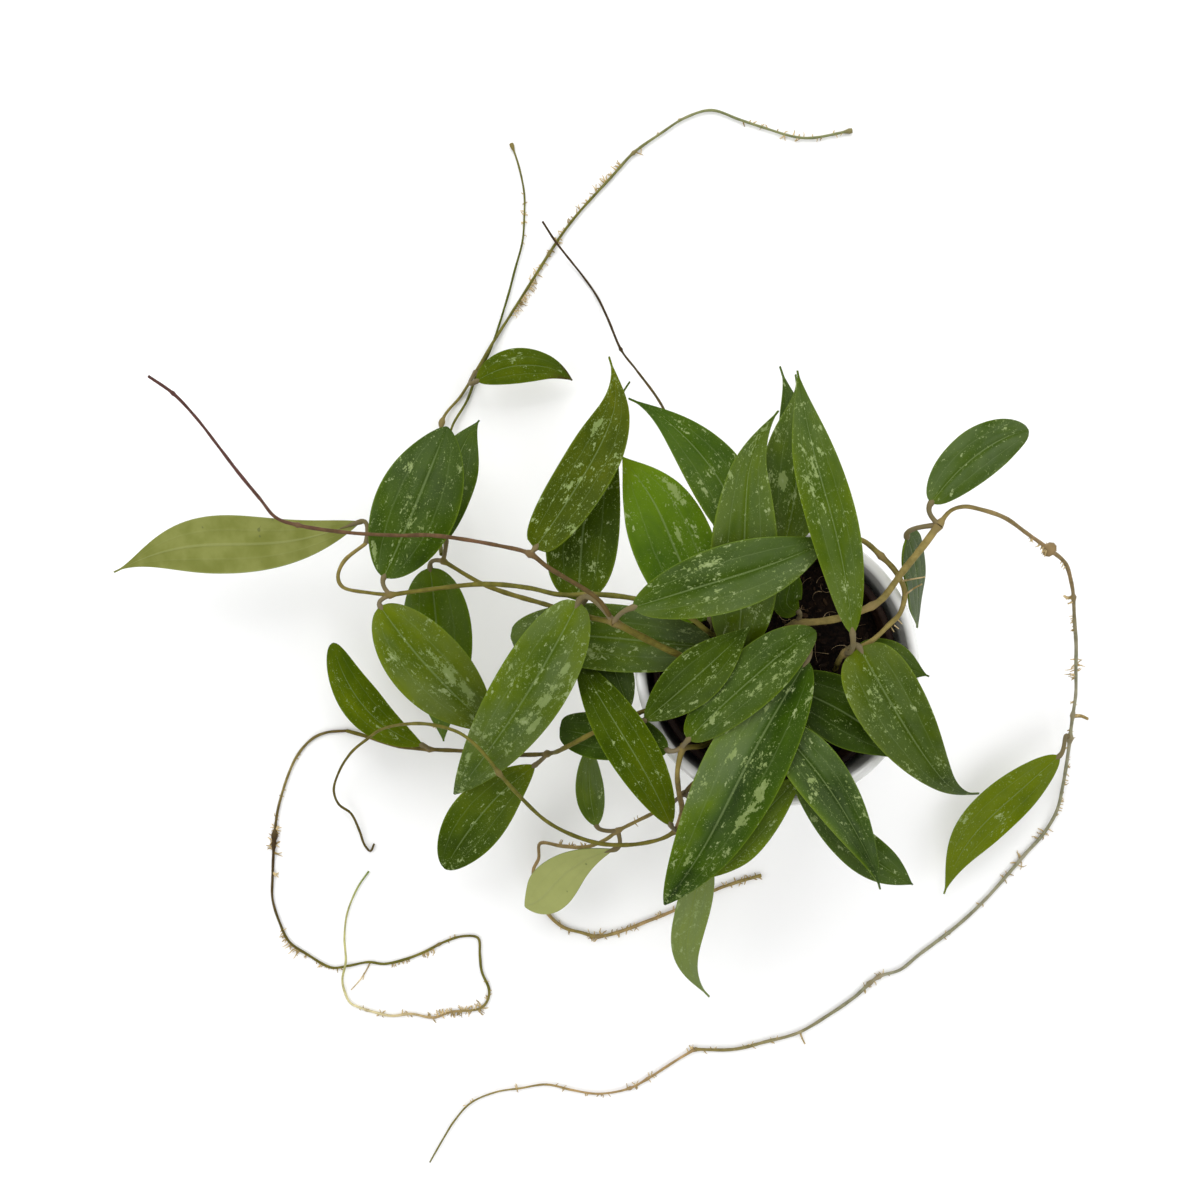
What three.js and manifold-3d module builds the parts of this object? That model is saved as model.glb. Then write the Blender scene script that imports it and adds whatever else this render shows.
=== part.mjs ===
// A trailing hoya with three-veined, silver-flecked leaves, in a nursery pot inside a white ceramic cover
// pot. Millimetres, +Z up. The origin is the centre of the cover pot's underside. Seen from above, +X is to
// the right and +Y is up. Stems that hang over the rim come down to the surface the pot stands on.

import * as THREE from "three";
import { mergeVertices } from "three/addons/utils/BufferGeometryUtils.js";
import Module from "manifold-3d";

const wasm = await Module();
wasm.setup();

// The cover pot: outer diameters at the rim and at the foot, height, and wall.
const POT_RIM_DIAMETER = 130;
const POT_FOOT_DIAMETER = 100;
const POT_HEIGHT = 118;
const POT_WALL = 5;
const POT_FLOOR = 7;

// The nursery pot stands inside it, its rim a little below the cover pot's rim.
const NURSERY_RIM_DIAMETER = 113;
const NURSERY_FOOT_DIAMETER = 80;
const NURSERY_HEIGHT = 99;
const NURSERY_WALL = 1.2;
const NURSERY_LIP = 2;
const DRAIN_HOLES = 4;
const DRAIN_DIAMETER = 9;

// Pieces that touch on the real plant stand this far apart here.
const GAP = 0.3;

const SOIL_TOP = 98;
const SOIL_MOUND = 3;
const STEM_DEPTH = 10;
const HOLE_CLEARANCE = 0.9;

const BLADE_THICKNESS = 1;
const PETIOLE_RADIUS = 1.3;
const ROUND_SIDES = 32;
const HOLE_SIDES = 8;
const STEM_SIDES = 5;
const BLADE_ROWS = 8;
const BLADE_COLUMNS = 4;
const STEM_STEP = 13;
const PETIOLE_STEP = 9;

const LEAF_GREEN = 0x3f6a22;
const LEAF_BRIGHT = 0x5d8f27;
const LEAF_PALE = 0x8fa760;
const STEM_OLIVE = 0x7d7a45;
const STEM_PURPLE = 0x6a4640;
const STEM_BROWN = 0x7a6044;
const TENDRIL_GREEN = 0x6f7350;

const UP = new THREE.Vector3(0, 0, 1);

// Each blade runs from its base, where the petiole meets it, to its tip. width is its greatest width, at
// the share belly of its length. arch bows its middle upwards and sweep bows it to its left; snake bows its
// first half to the left and its second half to the right. roll lifts its right margin, in degrees. cup
// raises both margins, or lowers them when negative. drip draws the tip out thin, and a small blunt makes
// the base full. curl moves the very tip left and up.
const LEAVES = {
  leaf_pale_west: {
    base: [-201.3, 68.8, 55], tip: [-328.4, 43.3, 44], width: 29.4, arch: 5, sweep: -1.6, snake: 4,
    roll: 180, drip: 0.99, belly: 0.53, blunt: 0.73, curl: [-0.5, 0],
  },
  leaf_round_west: {
    base: [-184.6, 40.6, 86], tip: [-156.1, 114.4, 70], width: 40.4, arch: 7, sweep: -1.7,
    snake: -0.1, cup: -0.15, drip: 0.06, belly: 0.46, blunt: 0.59, curl: [0.1, 0],
  },
  leaf_behind_round: {
    base: [-158, 59, 58], tip: [-143.4, 121.8, 38], width: 23.6, arch: 5, sweep: 4.4, snake: -0.3,
    cup: -0.1, drip: 0.56, belly: 0.49, blunt: 0.75, curl: [-0.3, 0],
  },
  leaf_yellow_west: {
    base: [-186.9, 26.4, 82], tip: [-134.9, -34.8, 56], width: 36.3, arch: 9, sweep: -1.7,
    snake: -0.2, cup: -0.15, drip: 0.15, belly: 0.44, blunt: 0.56, curl: [-0.3, 0],
  },
  leaf_dark_west: {
    base: [-166.4, 45.6, 54], tip: [-163.8, -43.6, 30], width: 34.6, arch: 6, sweep: 2.5,
    cup: -0.1, drip: 0.38, belly: 0.36, blunt: 0.69, curl: [1.5, 0],
  },
  leaf_small_north: {
    base: [-145.6, 144.7, 22], tip: [-95.6, 148.6, 16], width: 18.5, arch: 3, sweep: 6.2,
    snake: 0.3, drip: 0.18, belly: 0.42, blunt: 0.69, curl: [-1.8, -5],
  },
  leaf_grey_long: {
    base: [-90.5, 28.8, 142], tip: [-153.8, -68.3, 52], width: 33.1, arch: 12, sweep: 2.8,
    snake: 0.4, cup: -0.15, drip: 0.09, belly: 0.34, blunt: 0.69, curl: [-0.7, 0],
  },
  leaf_olive_north: {
    base: [-109.7, 52.6, 137], tip: [-72, 141.9, 98], width: 24.3, arch: 6, sweep: -8, snake: 1,
    cup: 0.15, drip: 1.2, belly: 0.39, blunt: 0.4, curl: [5.2, 0],
  },
  leaf_olive_behind: {
    base: [-90.7, 29.6, 124], tip: [-67.3, 135.1, 80], width: 33.2, arch: 6, sweep: 7, snake: -0.5,
    cup: 0.1, drip: 0.77, belly: 0.26, blunt: 0.81, curl: [-0.5, 0],
  },
  leaf_bright_north: {
    base: [-32.5, 21.5, 136.5], tip: [-73.2, 95, 108], width: 36.1, arch: 6, sweep: -3, snake: 1.7,
    cup: 0.1, drip: 0.64, belly: 0.41, blunt: 0.43, curl: [-2.5, 0],
  },
  leaf_north_tip: {
    base: [-15.7, 53.6, 138], tip: [-66.1, 125.1, 100], width: 26.2, arch: 6, sweep: -7.6,
    snake: -0.5, cup: 0.1, drip: 0.61, belly: 0.3, blunt: 0.86, curl: [1.8, 0],
  },
  leaf_top: {
    base: [-66.8, 26.5, 156], tip: [19, 55.7, 154], width: 28.3, arch: 7, sweep: -1.3, snake: 0.4,
    cup: -0.15, drip: 0.41, belly: 0.47, blunt: 0.59, curl: [0.6, 0],
  },
  leaf_upright: {
    base: [-19.8, 8.2, 134], tip: [-12.1, 112.9, 144], width: 29.9, arch: 12, sweep: 2.6,
    snake: -0.8, cup: 0.15, drip: 0.57, belly: 0.33, blunt: 0.59, curl: [-9, 0],
  },
  leaf_crest_back: {
    base: [5, 69, 133], tip: [1, 136, 118], width: 15, arch: 4, sweep: -3, cup: 0.1, drip: 1.2,
    belly: 0.4,
  },
  leaf_crest_wide: {
    base: [0, 54, 141], tip: [7, 131, 126], width: 31, arch: 6, sweep: -3, cup: 0.1, drip: 1.2,
    belly: 0.4,
  },
  leaf_crest_front: {
    base: [27.1, 15.5, 156], tip: [6.1, 130.1, 142], width: 21.4, arch: 16, sweep: 2.3,
    snake: -1.4, cup: -0.1, drip: 0.67, belly: 0.46, blunt: 0.64, curl: [0.7, 0],
  },
  leaf_small_inner: {
    base: [7, 24.5, 131], tip: [-1, 43.9, 138], width: 13.3, arch: 2, sweep: 1.2, snake: 2.4,
    drip: 0.35, belly: 0.39, blunt: 0.62,
  },
  leaf_hanging_east: {
    base: [53.3, 57.1, 143], tip: [73, 16.3, 76], width: 22.5, arch: 3, sweep: 0.8, snake: 0.4,
    roll: 42, drip: 0.51, belly: 0.28, blunt: 0.74, curl: [0.1, 0],
  },
  leaf_raised_east: {
    base: [60.9, 71.4, 156], tip: [104.3, 103.7, 148], width: 21.9, arch: 6, sweep: 4.9,
    snake: 0.1, cup: -0.1, drip: 0, belly: 0.48, blunt: 0.47, curl: [-0.8, 0],
  },
  leaf_far_east: {
    base: [160.5, -52.8, 20], tip: [102, -126.7, 12], width: 24.3, arch: 5, sweep: -8.8,
    snake: 1.6, cup: -0.1, drip: 0.73, belly: 0.46, blunt: 0.62,
  },
  leaf_east: {
    base: [33, 8.5, 141], tip: [95.3, -66.3, 88], width: 32, arch: 16, sweep: -7.1, snake: 0.3,
    cup: -0.15, drip: 0.71, belly: 0.2, blunt: 0.86, curl: [5.7, 0],
  },
  leaf_east_under: {
    base: [34, 8, 127], tip: [68, -5, 121], width: 18, arch: 3, drip: 0.8, belly: 0.4,
  },
  leaf_dark_inner: {
    base: [-5, -7, 117], tip: [58, -44, 122], width: 30, arch: 5, sweep: 5, drip: 0.6, belly: 0.5,
  },
  leaf_glossy_centre: {
    base: [-60.8, -24.4, 126], tip: [-16, 18, 148], width: 23, arch: 7, cup: -0.12, belly: 0.5,
  },
  leaf_centre: {
    base: [-41.5, -32.5, 131], tip: [11, 18.1, 143], width: 25.1, arch: 8, sweep: 1.6, snake: 0.3,
    cup: -0.12, drip: 0.14, belly: 0.54, blunt: 0.36, curl: [-3.4, 0],
  },
  leaf_blunt_dark: {
    base: [-50.7, -38.2, 124], tip: [-99.9, -30.6, 84], width: 22.9, arch: 3, sweep: -0.8,
    snake: -1.7, drip: -0.13, belly: 0.51, blunt: 0.43, curl: [1.6, 0],
  },
  leaf_slim_south: {
    base: [-48.2, -75, 104], tip: [-92.4, 2.8, 101], width: 22.5, arch: 27, sweep: -2.2,
    snake: -0.5, drip: 0.16, belly: 0.49, blunt: 0.64,
  },
  leaf_tucked_west: {
    base: [-67.6, -20.3, 113.3], tip: [-83.4, 14.3, 105.2], width: 16.4, arch: 2, sweep: -1.1,
    snake: 0.4, belly: 0.47, blunt: 0.76, curl: [-0.1, 0],
  },
  leaf_cross_west: {
    base: [-30.3, 7.9, 124], tip: [-122.7, 12.7, 100], width: 30.7, arch: 6, sweep: -2.2,
    snake: 0.4, cup: -0.1, drip: -0.06, belly: 0.49, blunt: 0.42, curl: [0.5, 0],
  },
  leaf_notched_south: {
    base: [-113.6, -52.5, 62], tip: [-160.7, -107.5, 40], width: 29.1, arch: 6, sweep: -4,
    snake: -0.5, cup: -0.1, drip: -0.1, belly: 0.54, blunt: 0.62, curl: [0.8, 0],
  },
  leaf_bright_west: {
    base: [-174.1, -46.2, 25], tip: [-220, 7.1, 30], width: 20.9, arch: 5, sweep: 8.6, snake: 0.3,
    cup: -0.1, drip: -0.2, belly: 0.51, curl: [-0.2, 0],
  },
  leaf_largest: {
    base: [10.2, 3, 138], tip: [-51.6, -116.1, 82], width: 36.2, arch: 20, sweep: -0.7,
    snake: -1.6, cup: -0.15, drip: 0.05, belly: 0.38, blunt: 0.71, curl: [1.9, 0],
  },
  leaf_small_south: {
    base: [-83, -85, 44], tip: [-86.5, -43.9, 66], width: 14.3, arch: 3, sweep: 1.5, drip: -0.11,
    belly: 0.48, blunt: 0.63,
  },
  leaf_pale_south: {
    base: [-73.4, -98, 40], tip: [-116.8, -135.4, 22], width: 24.3, arch: 5, sweep: -6.7,
    snake: -0.7, roll: 180, drip: 0.09, belly: 0.64, blunt: 0.64, curl: [-5.4, 0],
  },
  leaf_wavy_south: {
    base: [-34.4, -76, 92], tip: [-23.2, -176.2, 30], width: 17.3, arch: 6, sweep: -8.7,
    snake: 4.4, cup: 0.1, drip: 0.76, belly: 0.43, blunt: 0.72, curl: [-1.3, 0],
  },
  leaf_bright_south: {
    base: [9, -50, 124], tip: [-34, -105, 86], width: 22, arch: 9, sweep: -2, drip: 0.6,
    belly: 0.5,
  },
  leaf_dark_south: {
    base: [-0.3, -28.5, 128], tip: [50.1, -103.1, 108], width: 23.8, arch: 12, sweep: 2.9,
    snake: 0.6, cup: 0.1, drip: 0.36, belly: 0.25, blunt: 0.82, curl: [-1.8, 0],
  },
  leaf_south_behind: {
    base: [3.5, -45.9, 127], tip: [67.7, -104.7, 92], width: 19, arch: 8, sweep: -5.5, snake: -0.4,
    drip: 0.52, belly: 0.59, blunt: 0.54, curl: [-0.8, 0],
  },
};

// Each vine is one fused piece: stretches of stem, swollen nodes [x, y, z, radius], and petioles, each from
// a point on the stem to the base of a blade. rooted gives the stretches that carry aerial roots, with the
// mean distance between roots.
const VINES = {
  vine_west: {
    color: STEM_OLIVE,
    stretches: [
      {
        radius: 1.6,
        points: [
          [-24, -3, 88], [-24, -3, 100], [-30, -1, 122], [-41, 3, 134], [-56, 10, 140], [-75, 20, 146],
        ],
      },
      {
        radius: 1.3,
        points: [[-75, 20, 146], [-86, 22, 136], [-104, 27, 116], [-137, 37, 80], [-159, 49, 62]],
      },
    ],
    nodes: [[-75, 20, 146, 2.4], [-159, 49, 62, 2.2]],
    petioles: [
      { leaf: "leaf_top", from: [-75, 20, 146] },
      { leaf: "leaf_grey_long", from: [-75, 20, 146] },
      { leaf: "leaf_cross_west", from: [-28, -1, 118] },
      { leaf: "leaf_behind_round", from: [-159, 49, 62] },
      { leaf: "leaf_dark_west", from: [-159, 49, 62] },
    ],
  },
  vine_north: {
    color: TENDRIL_GREEN,
    stretches: [
      { radius: 1.1, points: [[-160.3, 52.4, 58.3], [-163, 65, 40], [-163, 88, 20], [-163, 99, 12]] },
      {
        radius: 0.8,
        points: [
          [-163, 99, 12], [-161, 122, 4], [-153, 137, 1.6], [-148, 150, 1.6], [-141, 163, 1.6], [-131, 193, 1.6],
          [-127, 208, 1.6], [-123, 223, 1.6], [-122, 236, 1.6], [-122, 249, 1.6], [-125, 264, 1.6], [-129, 276, 1.6],
        ],
      },
      {
        radius: 1.05,
        points: [
          [-163, 99, 12], [-166, 126, 4], [-156, 140, 1.6], [-148, 152, 5], [-139, 168, 3], [-131, 181, 1.6],
          [-119, 200, 1.6], [-98, 232, 1.6], [-74, 259, 1.6], [-63, 271, 1.6], [-49, 281, 1.6], [-35, 290, 1.6],
          [-21, 294, 1.6], [-6, 289, 1.6], [6, 285, 1.6], [29, 279, 1.6], [55, 283, 1.6],
        ],
      },
    ],
    nodes: [
      [-163, 99, 12, 1.6], [-166, 126, 4, 1.5], [-63, 271, 2.0, 1.4], [-129, 276, 2.0, 1.3],
      [55, 283, 2.0, 1.4],
    ],
    petioles: [{ leaf: "leaf_small_north", from: [-148, 152, 5] }],
    rooted: [{ stretch: 2, spacing: 23 }],
  },
  shoot_purple: {
    color: STEM_PURPLE,
    stretches: [
      {
        radius: 1.1,
        points: [
          [-76.9, 22.9, 147.9], [-82, 30, 152], [-104, 44, 142], [-112, 50, 136], [-126, 54, 124],
          [-161, 60, 100], [-175, 60, 97], [-203, 62, 86], [-228, 66, 76], [-240, 70, 70],
          [-250, 80, 62], [-263, 94, 54],
          [-275, 108, 47], [-288, 123, 40], [-301, 136, 36], [-314, 145, 35],
        ],
      },
    ],
    nodes: [[-112, 50, 136, 2.1], [-228, 66, 76, 1.6], [-301, 136, 36, 1.4]],
    petioles: [{ leaf: "leaf_olive_north", from: [-112, 50, 136] }],
  },
  vine_loop: {
    color: STEM_OLIVE,
    stretches: [
      {
        radius: 1.3,
        points: [
          [-26, 14, 88], [-26, 14, 100], [-29, 13.5, 125], [-34.5, 16.5, 138], [-42, 22, 146], [-52, 26, 148],
          [-65, 30, 145], [-81, 32, 138], [-99, 32, 130], [-113, 35, 122], [-135, 37, 106], [-167, 34, 90],
          [-182, 32, 84],
        ],
      },
      {
        radius: 1.1,
        points: [
          [-182, 32, 84], [-192, 33, 80], [-207, 36, 72], [-210, 41, 68], [-208, 49, 62], [-198, 58, 57],
        ],
      },
    ],
    nodes: [[-182, 32, 84, 2.2], [-86, 32, 136, 1.8]],
    petioles: [
      { leaf: "leaf_bright_north", from: [-31.2, 14.7, 130] },
      { leaf: "leaf_olive_behind", from: [-86, 32, 136] },
      { leaf: "leaf_round_west", from: [-182, 32, 84] },
      { leaf: "leaf_yellow_west", from: [-182, 32, 84] },
      { leaf: "leaf_pale_west", from: [-198, 58, 57] },
    ],
  },
  shoot_north: {
    color: TENDRIL_GREEN,
    stretches: [
      {
        radius: 0.75,
        points: [
          [-13, 34, 88], [-13, 34, 100], [-20, 46, 120], [-28, 61, 123], [-38, 91, 92], [-50, 128, 50],
          [-62, 150, 24], [-70, 163, 12], [-77, 181, 5], [-83, 194, 1.3], [-90, 204, 1.3], [-100, 216, 4],
          [-105, 222, 6], [-112, 233, 5],
        ],
      },
    ],
    nodes: [[-70, 163, 12, 1.2]],
    petioles: [{ leaf: "leaf_north_tip", from: [-13, 34, 102] }],
  },
  vine_east: {
    color: STEM_OLIVE,
    stretches: [
      {
        radius: 1.75,
        points: [
          [0, 11, 88], [0, 11, 100], [1, 15, 118], [7, 19, 126], [17, 20, 130], [27, 22, 134],
          [39, 27, 138], [43, 30, 140], [51, 42, 145], [59, 53, 149], [65, 62, 152],
        ],
      },
      {
        radius: 1.25,
        points: [
          [65, 62, 152], [70, 68, 152], [76, 70, 150], [86, 69, 144], [99, 66, 134], [112, 60, 122],
          [127, 53, 108], [138, 47, 97], [145, 38, 85], [149, 32, 76], [154, 20, 63], [160, 7, 48],
          [164, -6, 36], [168, -20, 24], [169, -33, 16], [169, -44, 12],
        ],
      },
      {
        radius: 1.15,
        points: [
          [169, -44, 12], [169, -53, 9], [168, -68, 5], [165, -84, 3], [158, -97, 1.5], [149, -107, 1.5],
          [127, -132, 1.5], [112, -146, 1.5], [91, -162, 1.5], [81, -170, 1.5], [69, -174, 1.5], [56, -185, 1.5],
          [43, -194, 1.5], [26, -204, 1.5], [8, -209, 1.5], [-9, -213, 1.5], [-30, -213, 1.5],
        ],
      },
      {
        radius: 0.9,
        points: [
          [-30, -213, 1.5], [-40, -219, 1.5], [-54, -228, 1.5], [-65, -234, 1.5], [-82, -237, 1.5], [-96, -235, 1.5],
          [-110, -232, 1.5], [-124, -234, 1.5], [-137, -236, 1.5], [-151, -242, 1.5], [-160, -252, 1.5],
          [-165, -260, 1.5], [-173, -274, 1.5],
        ],
      },
    ],
    nodes: [
      [7, 19, 126, 2.4], [39, 27, 138, 2.4], [65, 62, 152, 2.6], [127, 53, 108, 2.2], [169, -44, 12, 2.2],
      [69, -174, 1.9, 1.6], [-30, -213, 1.9, 1.6], [-65, -234, 1.9, 1.4],
    ],
    petioles: [
      { leaf: "leaf_small_inner", from: [7, 19, 126] },
      { leaf: "leaf_largest", from: [3, 16, 121] },
      { leaf: "leaf_raised_east", from: [65, 62, 152] },
      { leaf: "leaf_hanging_east", from: [65, 62, 152] },
      { leaf: "leaf_far_east", from: [169, -44, 12] },
    ],
    rooted: [{ stretch: 1, spacing: 34 }, { stretch: 2, spacing: 36 }, { stretch: 3, spacing: 36 }],
  },
  vine_east_back: {
    color: STEM_OLIVE,
    stretches: [
      {
        radius: 1.35,
        points: [
          [29, -3, 88], [29, -3, 100], [27, 2, 122], [28, 6, 134], [39, 11, 134], [48, 19, 133],
          [52, 23, 133], [54, 29, 134], [54, 34, 135], [50, 42, 136], [43, 49, 138], [34, 56, 140],
          [22, 58, 141], [10, 54, 139], [2, 46, 138],
        ],
      },
    ],
    nodes: [[28, 6, 134, 2.4], [43, 49, 138, 2.0]],
    petioles: [
      { leaf: "leaf_crest_front", from: [28, 6, 134] },
      { leaf: "leaf_east", from: [28, 6, 134] },
      { leaf: "leaf_east_under", from: [27, 2, 122] },
      { leaf: "leaf_crest_wide", from: [2, 46, 138] },
      { leaf: "leaf_crest_back", from: [2, 46, 138] },
    ],
  },
  vine_south_west: {
    color: STEM_BROWN,
    stretches: [
      {
        radius: 1.3,
        points: [
          [-34, -18, 88], [-34, -18, 100], [-42, -17, 115], [-51, -19, 121], [-62, -21, 122],
          [-66, -23, 121], [-72, -26, 118], [-81, -30, 111], [-96, -39, 99], [-107, -46, 68],
          [-129, -49, 45], [-153, -49, 28], [-171, -49, 20], [-190, -48, 10], [-206, -44, 4],
          [-218, -41, 1.1],
        ],
      },
      {
        radius: 0.8,
        points: [
          [-218, -41, 1.1], [-229, -42, 1.1], [-236, -45, 1.1], [-243, -52, 1.1], [-248, -61, 1.1], [-255, -83, 1.1],
          [-257, -99, 1.1], [-258, -120, 1.1], [-258, -132, 1.1], [-254, -145, 1.1], [-249, -155, 1.1],
          [-239, -162, 1.1], [-226, -169, 1.1], [-217, -168, 1.1], [-206, -166, 1.1], [-198, -167, 1.1],
          [-188, -165, 1.1], [-177, -161, 1.1], [-165, -155, 1.1], [-155, -152, 1.1], [-147, -153, 1.1],
          [-146, -162, 1.1], [-145, -171, 1.1], [-141, -181, 1.1], [-142, -187, 1.1], [-146, -191, 1.1],
          [-162, -193, 1.1], [-171, -196, 1.1], [-183, -194, 1.1], [-194, -195, 1.1], [-207, -192, 1.1],
        ],
      },
      {
        radius: 0.65,
        points: [
          [-207, -192, 1.1], [-216, -188, 1.1], [-219, -182, 1.1], [-220, -175, 2.6], [-218, -165, 3.4],
          [-219, -153, 2], [-218, -141, 1.1], [-215, -132, 1.1], [-211, -124, 1.1], [-206, -117, 1.1],
        ],
      },
    ],
    nodes: [
      [-72, -26, 118, 2.0], [-107, -46, 68, 2.2], [-171, -49, 20, 1.9], [-257, -99, 1.5, 1.6],
      [-207, -192, 1.5, 1.1],
    ],
    petioles: [
      { leaf: "leaf_glossy_centre", from: [-66, -23, 121] },
      { leaf: "leaf_tucked_west", from: [-72, -26, 118] },
      { leaf: "leaf_notched_south", from: [-107, -46, 68] },
      { leaf: "leaf_bright_west", from: [-171, -49, 20] },
    ],
    rooted: [{ stretch: 1, spacing: 31 }],
  },
  vine_south: {
    color: STEM_OLIVE,
    stretches: [
      {
        radius: 1.35,
        points: [[-28, -36, 88], [-28, -36, 100], [-35, -37, 118], [-44, -37, 124]],
      },
      {
        radius: 1.35,
        points: [[-44, -37, 124], [-46, -47, 123], [-45, -58, 114], [-43, -68, 106], [-45, -79, 97]],
      },
      {
        radius: 1.2,
        points: [
          [-45, -79, 97], [-51, -83, 94], [-61, -87, 86], [-71, -89, 79], [-82, -89, 74], [-95, -85, 73],
          [-107, -78, 76], [-119, -65, 86], [-129, -52, 95], [-133, -46, 98], [-139, -39, 99],
          [-147, -33, 98], [-160, -30, 90], [-175, -31, 72], [-192, -36, 48], [-201, -42, 36],
          [-211, -50, 26], [-219, -61, 17], [-223, -72, 11], [-221, -80, 7], [-215, -85, 5],
          [-211, -94, 3], [-208, -103, 1.5], [-205, -106, 1.5], [-203, -102, 1.5],
        ],
      },
    ],
    nodes: [[-44, -37, 124, 2.4], [-45, -79, 97, 2.1], [-129, -52, 95, 1.8]],
    petioles: [
      { leaf: "leaf_centre", from: [-44, -37, 124] },
      { leaf: "leaf_blunt_dark", from: [-44, -37, 124] },
      { leaf: "leaf_slim_south", from: [-45, -79, 97] },
    ],
  },
  vine_low_south: {
    color: STEM_BROWN,
    stretches: [
      {
        radius: 1.15,
        points: [
          [-16, -42, 88], [-16, -42, 100], [-24, -46, 116], [-30, -49, 120], [-38, -53, 122],
          [-42, -60, 108], [-44, -66, 84], [-46, -70, 70], [-55, -78, 52], [-64, -84, 43], [-72, -89, 38],
          [-78, -94, 34], [-88, -99, 28],
          [-101, -100, 20], [-113, -100, 12], [-114, -109, 7], [-117, -116, 4], [-115, -128, 1.5],
          [-109, -140, 1.5], [-101, -147, 1.5], [-91, -150, 1.5], [-82, -152, 1.5], [-69, -149, 1.5], [-56, -144, 1.5],
          [-41, -138, 1.5], [-19, -127, 1.5], [-8, -123, 1.5], [6, -119, 1.5],
        ],
      },
    ],
    nodes: [[-72, -89, 38, 2.2], [-82, -152, 1.9, 1.7], [-42, -60, 108, 1.9]],
    petioles: [
      { leaf: "leaf_wavy_south", from: [-42, -60, 108] },
      { leaf: "leaf_small_south", from: [-72, -89, 38] },
      { leaf: "leaf_pale_south", from: [-72, -89, 38] },
    ],
    rooted: [{ stretch: 0, spacing: 23, after: 0.55 }],
  },
  crown_stem_middle: {
    color: STEM_OLIVE,
    stretches: [{ radius: 1.5, points: [[-10, -2, 88], [-10, -2, 100], [-11, -2, 110], [-12, -2, 118]] }],
    nodes: [[-12, -2, 118, 2.2]],
    petioles: [
      { leaf: "leaf_upright", from: [-12, -2, 118] },
      { leaf: "leaf_dark_inner", from: [-11, -2, 114] },
    ],
  },
  crown_stem_south: {
    color: STEM_OLIVE,
    stretches: [{ radius: 1.5, points: [[4, -30, 88], [4, -30, 100], [4, -30, 106], [4, -31, 112]] }],
    nodes: [[4, -31, 112, 2.3]],
    petioles: [
      { leaf: "leaf_dark_south", from: [4, -31, 112] },
      { leaf: "leaf_south_behind", from: [4, -31, 112] },
      { leaf: "leaf_bright_south", from: [4, -31, 112] },
    ],
  },
};

// A small repeatable source of random numbers.
function randomFrom(seed) {
  let state = seed;
  return () => {
    state = (state * 1664525 + 1013904223) % 4294967296;
    return state / 4294967296;
  };
}

// The solid of a closed geometry, turned the right way out.
function solid(geometry) {
  const bare = geometry.clone();
  bare.deleteAttribute("normal");
  bare.deleteAttribute("uv");
  const merged = mergeVertices(bare, 1e-4);
  const vertProperties = new Float32Array(merged.attributes.position.array);
  const triVerts = new Uint32Array(merged.index.array);
  const made = new wasm.Manifold(new wasm.Mesh({ numProp: 3, vertProperties, triVerts }));
  if (made.volume() >= 0) return made;
  for (let i = 0; i < triVerts.length; i += 3) {
    [triVerts[i + 1], triVerts[i + 2]] = [triVerts[i + 2], triVerts[i + 1]];
  }
  return new wasm.Manifold(new wasm.Mesh({ numProp: 3, vertProperties, triVerts }));
}

function geometryOf(manifold) {
  const mesh = manifold.getMesh();
  const geometry = new THREE.BufferGeometry();
  geometry.setAttribute("position", new THREE.BufferAttribute(new Float32Array(mesh.vertProperties), 3));
  geometry.setIndex(new THREE.BufferAttribute(new Uint32Array(mesh.triVerts), 1));
  geometry.computeVertexNormals();
  return geometry;
}

function finish(color, roughness) {
  return new THREE.MeshStandardMaterial({ color, roughness, metalness: 0, side: THREE.DoubleSide });
}

function named(name, geometry, material) {
  const mesh = new THREE.Mesh(geometry, material);
  mesh.name = name;
  return mesh;
}

// A solid of revolution from [radius, height] pairs that run from the axis back to the axis.
function turned(profile) {
  const points = profile.map(([r, z]) => new THREE.Vector2(r, z));
  return solid(new THREE.LatheGeometry(points, ROUND_SIDES).rotateX(Math.PI / 2));
}

function coverPot() {
  const rim = POT_RIM_DIAMETER / 2;
  const foot = POT_FOOT_DIAMETER / 2;
  const lip = POT_WALL / 2;
  const profile = [
    [0, 0],
    [foot - 4, 0],
    [foot - 1, 1.2],
    [foot + 0.6, 4],
    [rim - 1.5, POT_HEIGHT - 30],
    [rim, POT_HEIGHT - 8],
    [rim, POT_HEIGHT - lip],
    [rim - 0.7 * lip, POT_HEIGHT - 0.3 * lip],
    [rim - lip, POT_HEIGHT],
    [rim - 1.5 * lip, POT_HEIGHT - 0.4 * lip],
    [rim - POT_WALL, POT_HEIGHT - 1.4 * lip],
    [rim - POT_WALL - 0.8, POT_HEIGHT - 30],
    [foot - POT_WALL + 1, POT_FLOOR + 4],
    [foot - POT_WALL - 4, POT_FLOOR],
    [0, POT_FLOOR],
  ];
  return turned(profile);
}

// Radius of the nursery pot's outer wall at a height above its own foot.
function nurseryRadius(height) {
  const foot = NURSERY_FOOT_DIAMETER / 2;
  const top = NURSERY_RIM_DIAMETER / 2 - NURSERY_LIP;
  return foot + ((top - foot) * height) / NURSERY_HEIGHT;
}

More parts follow.
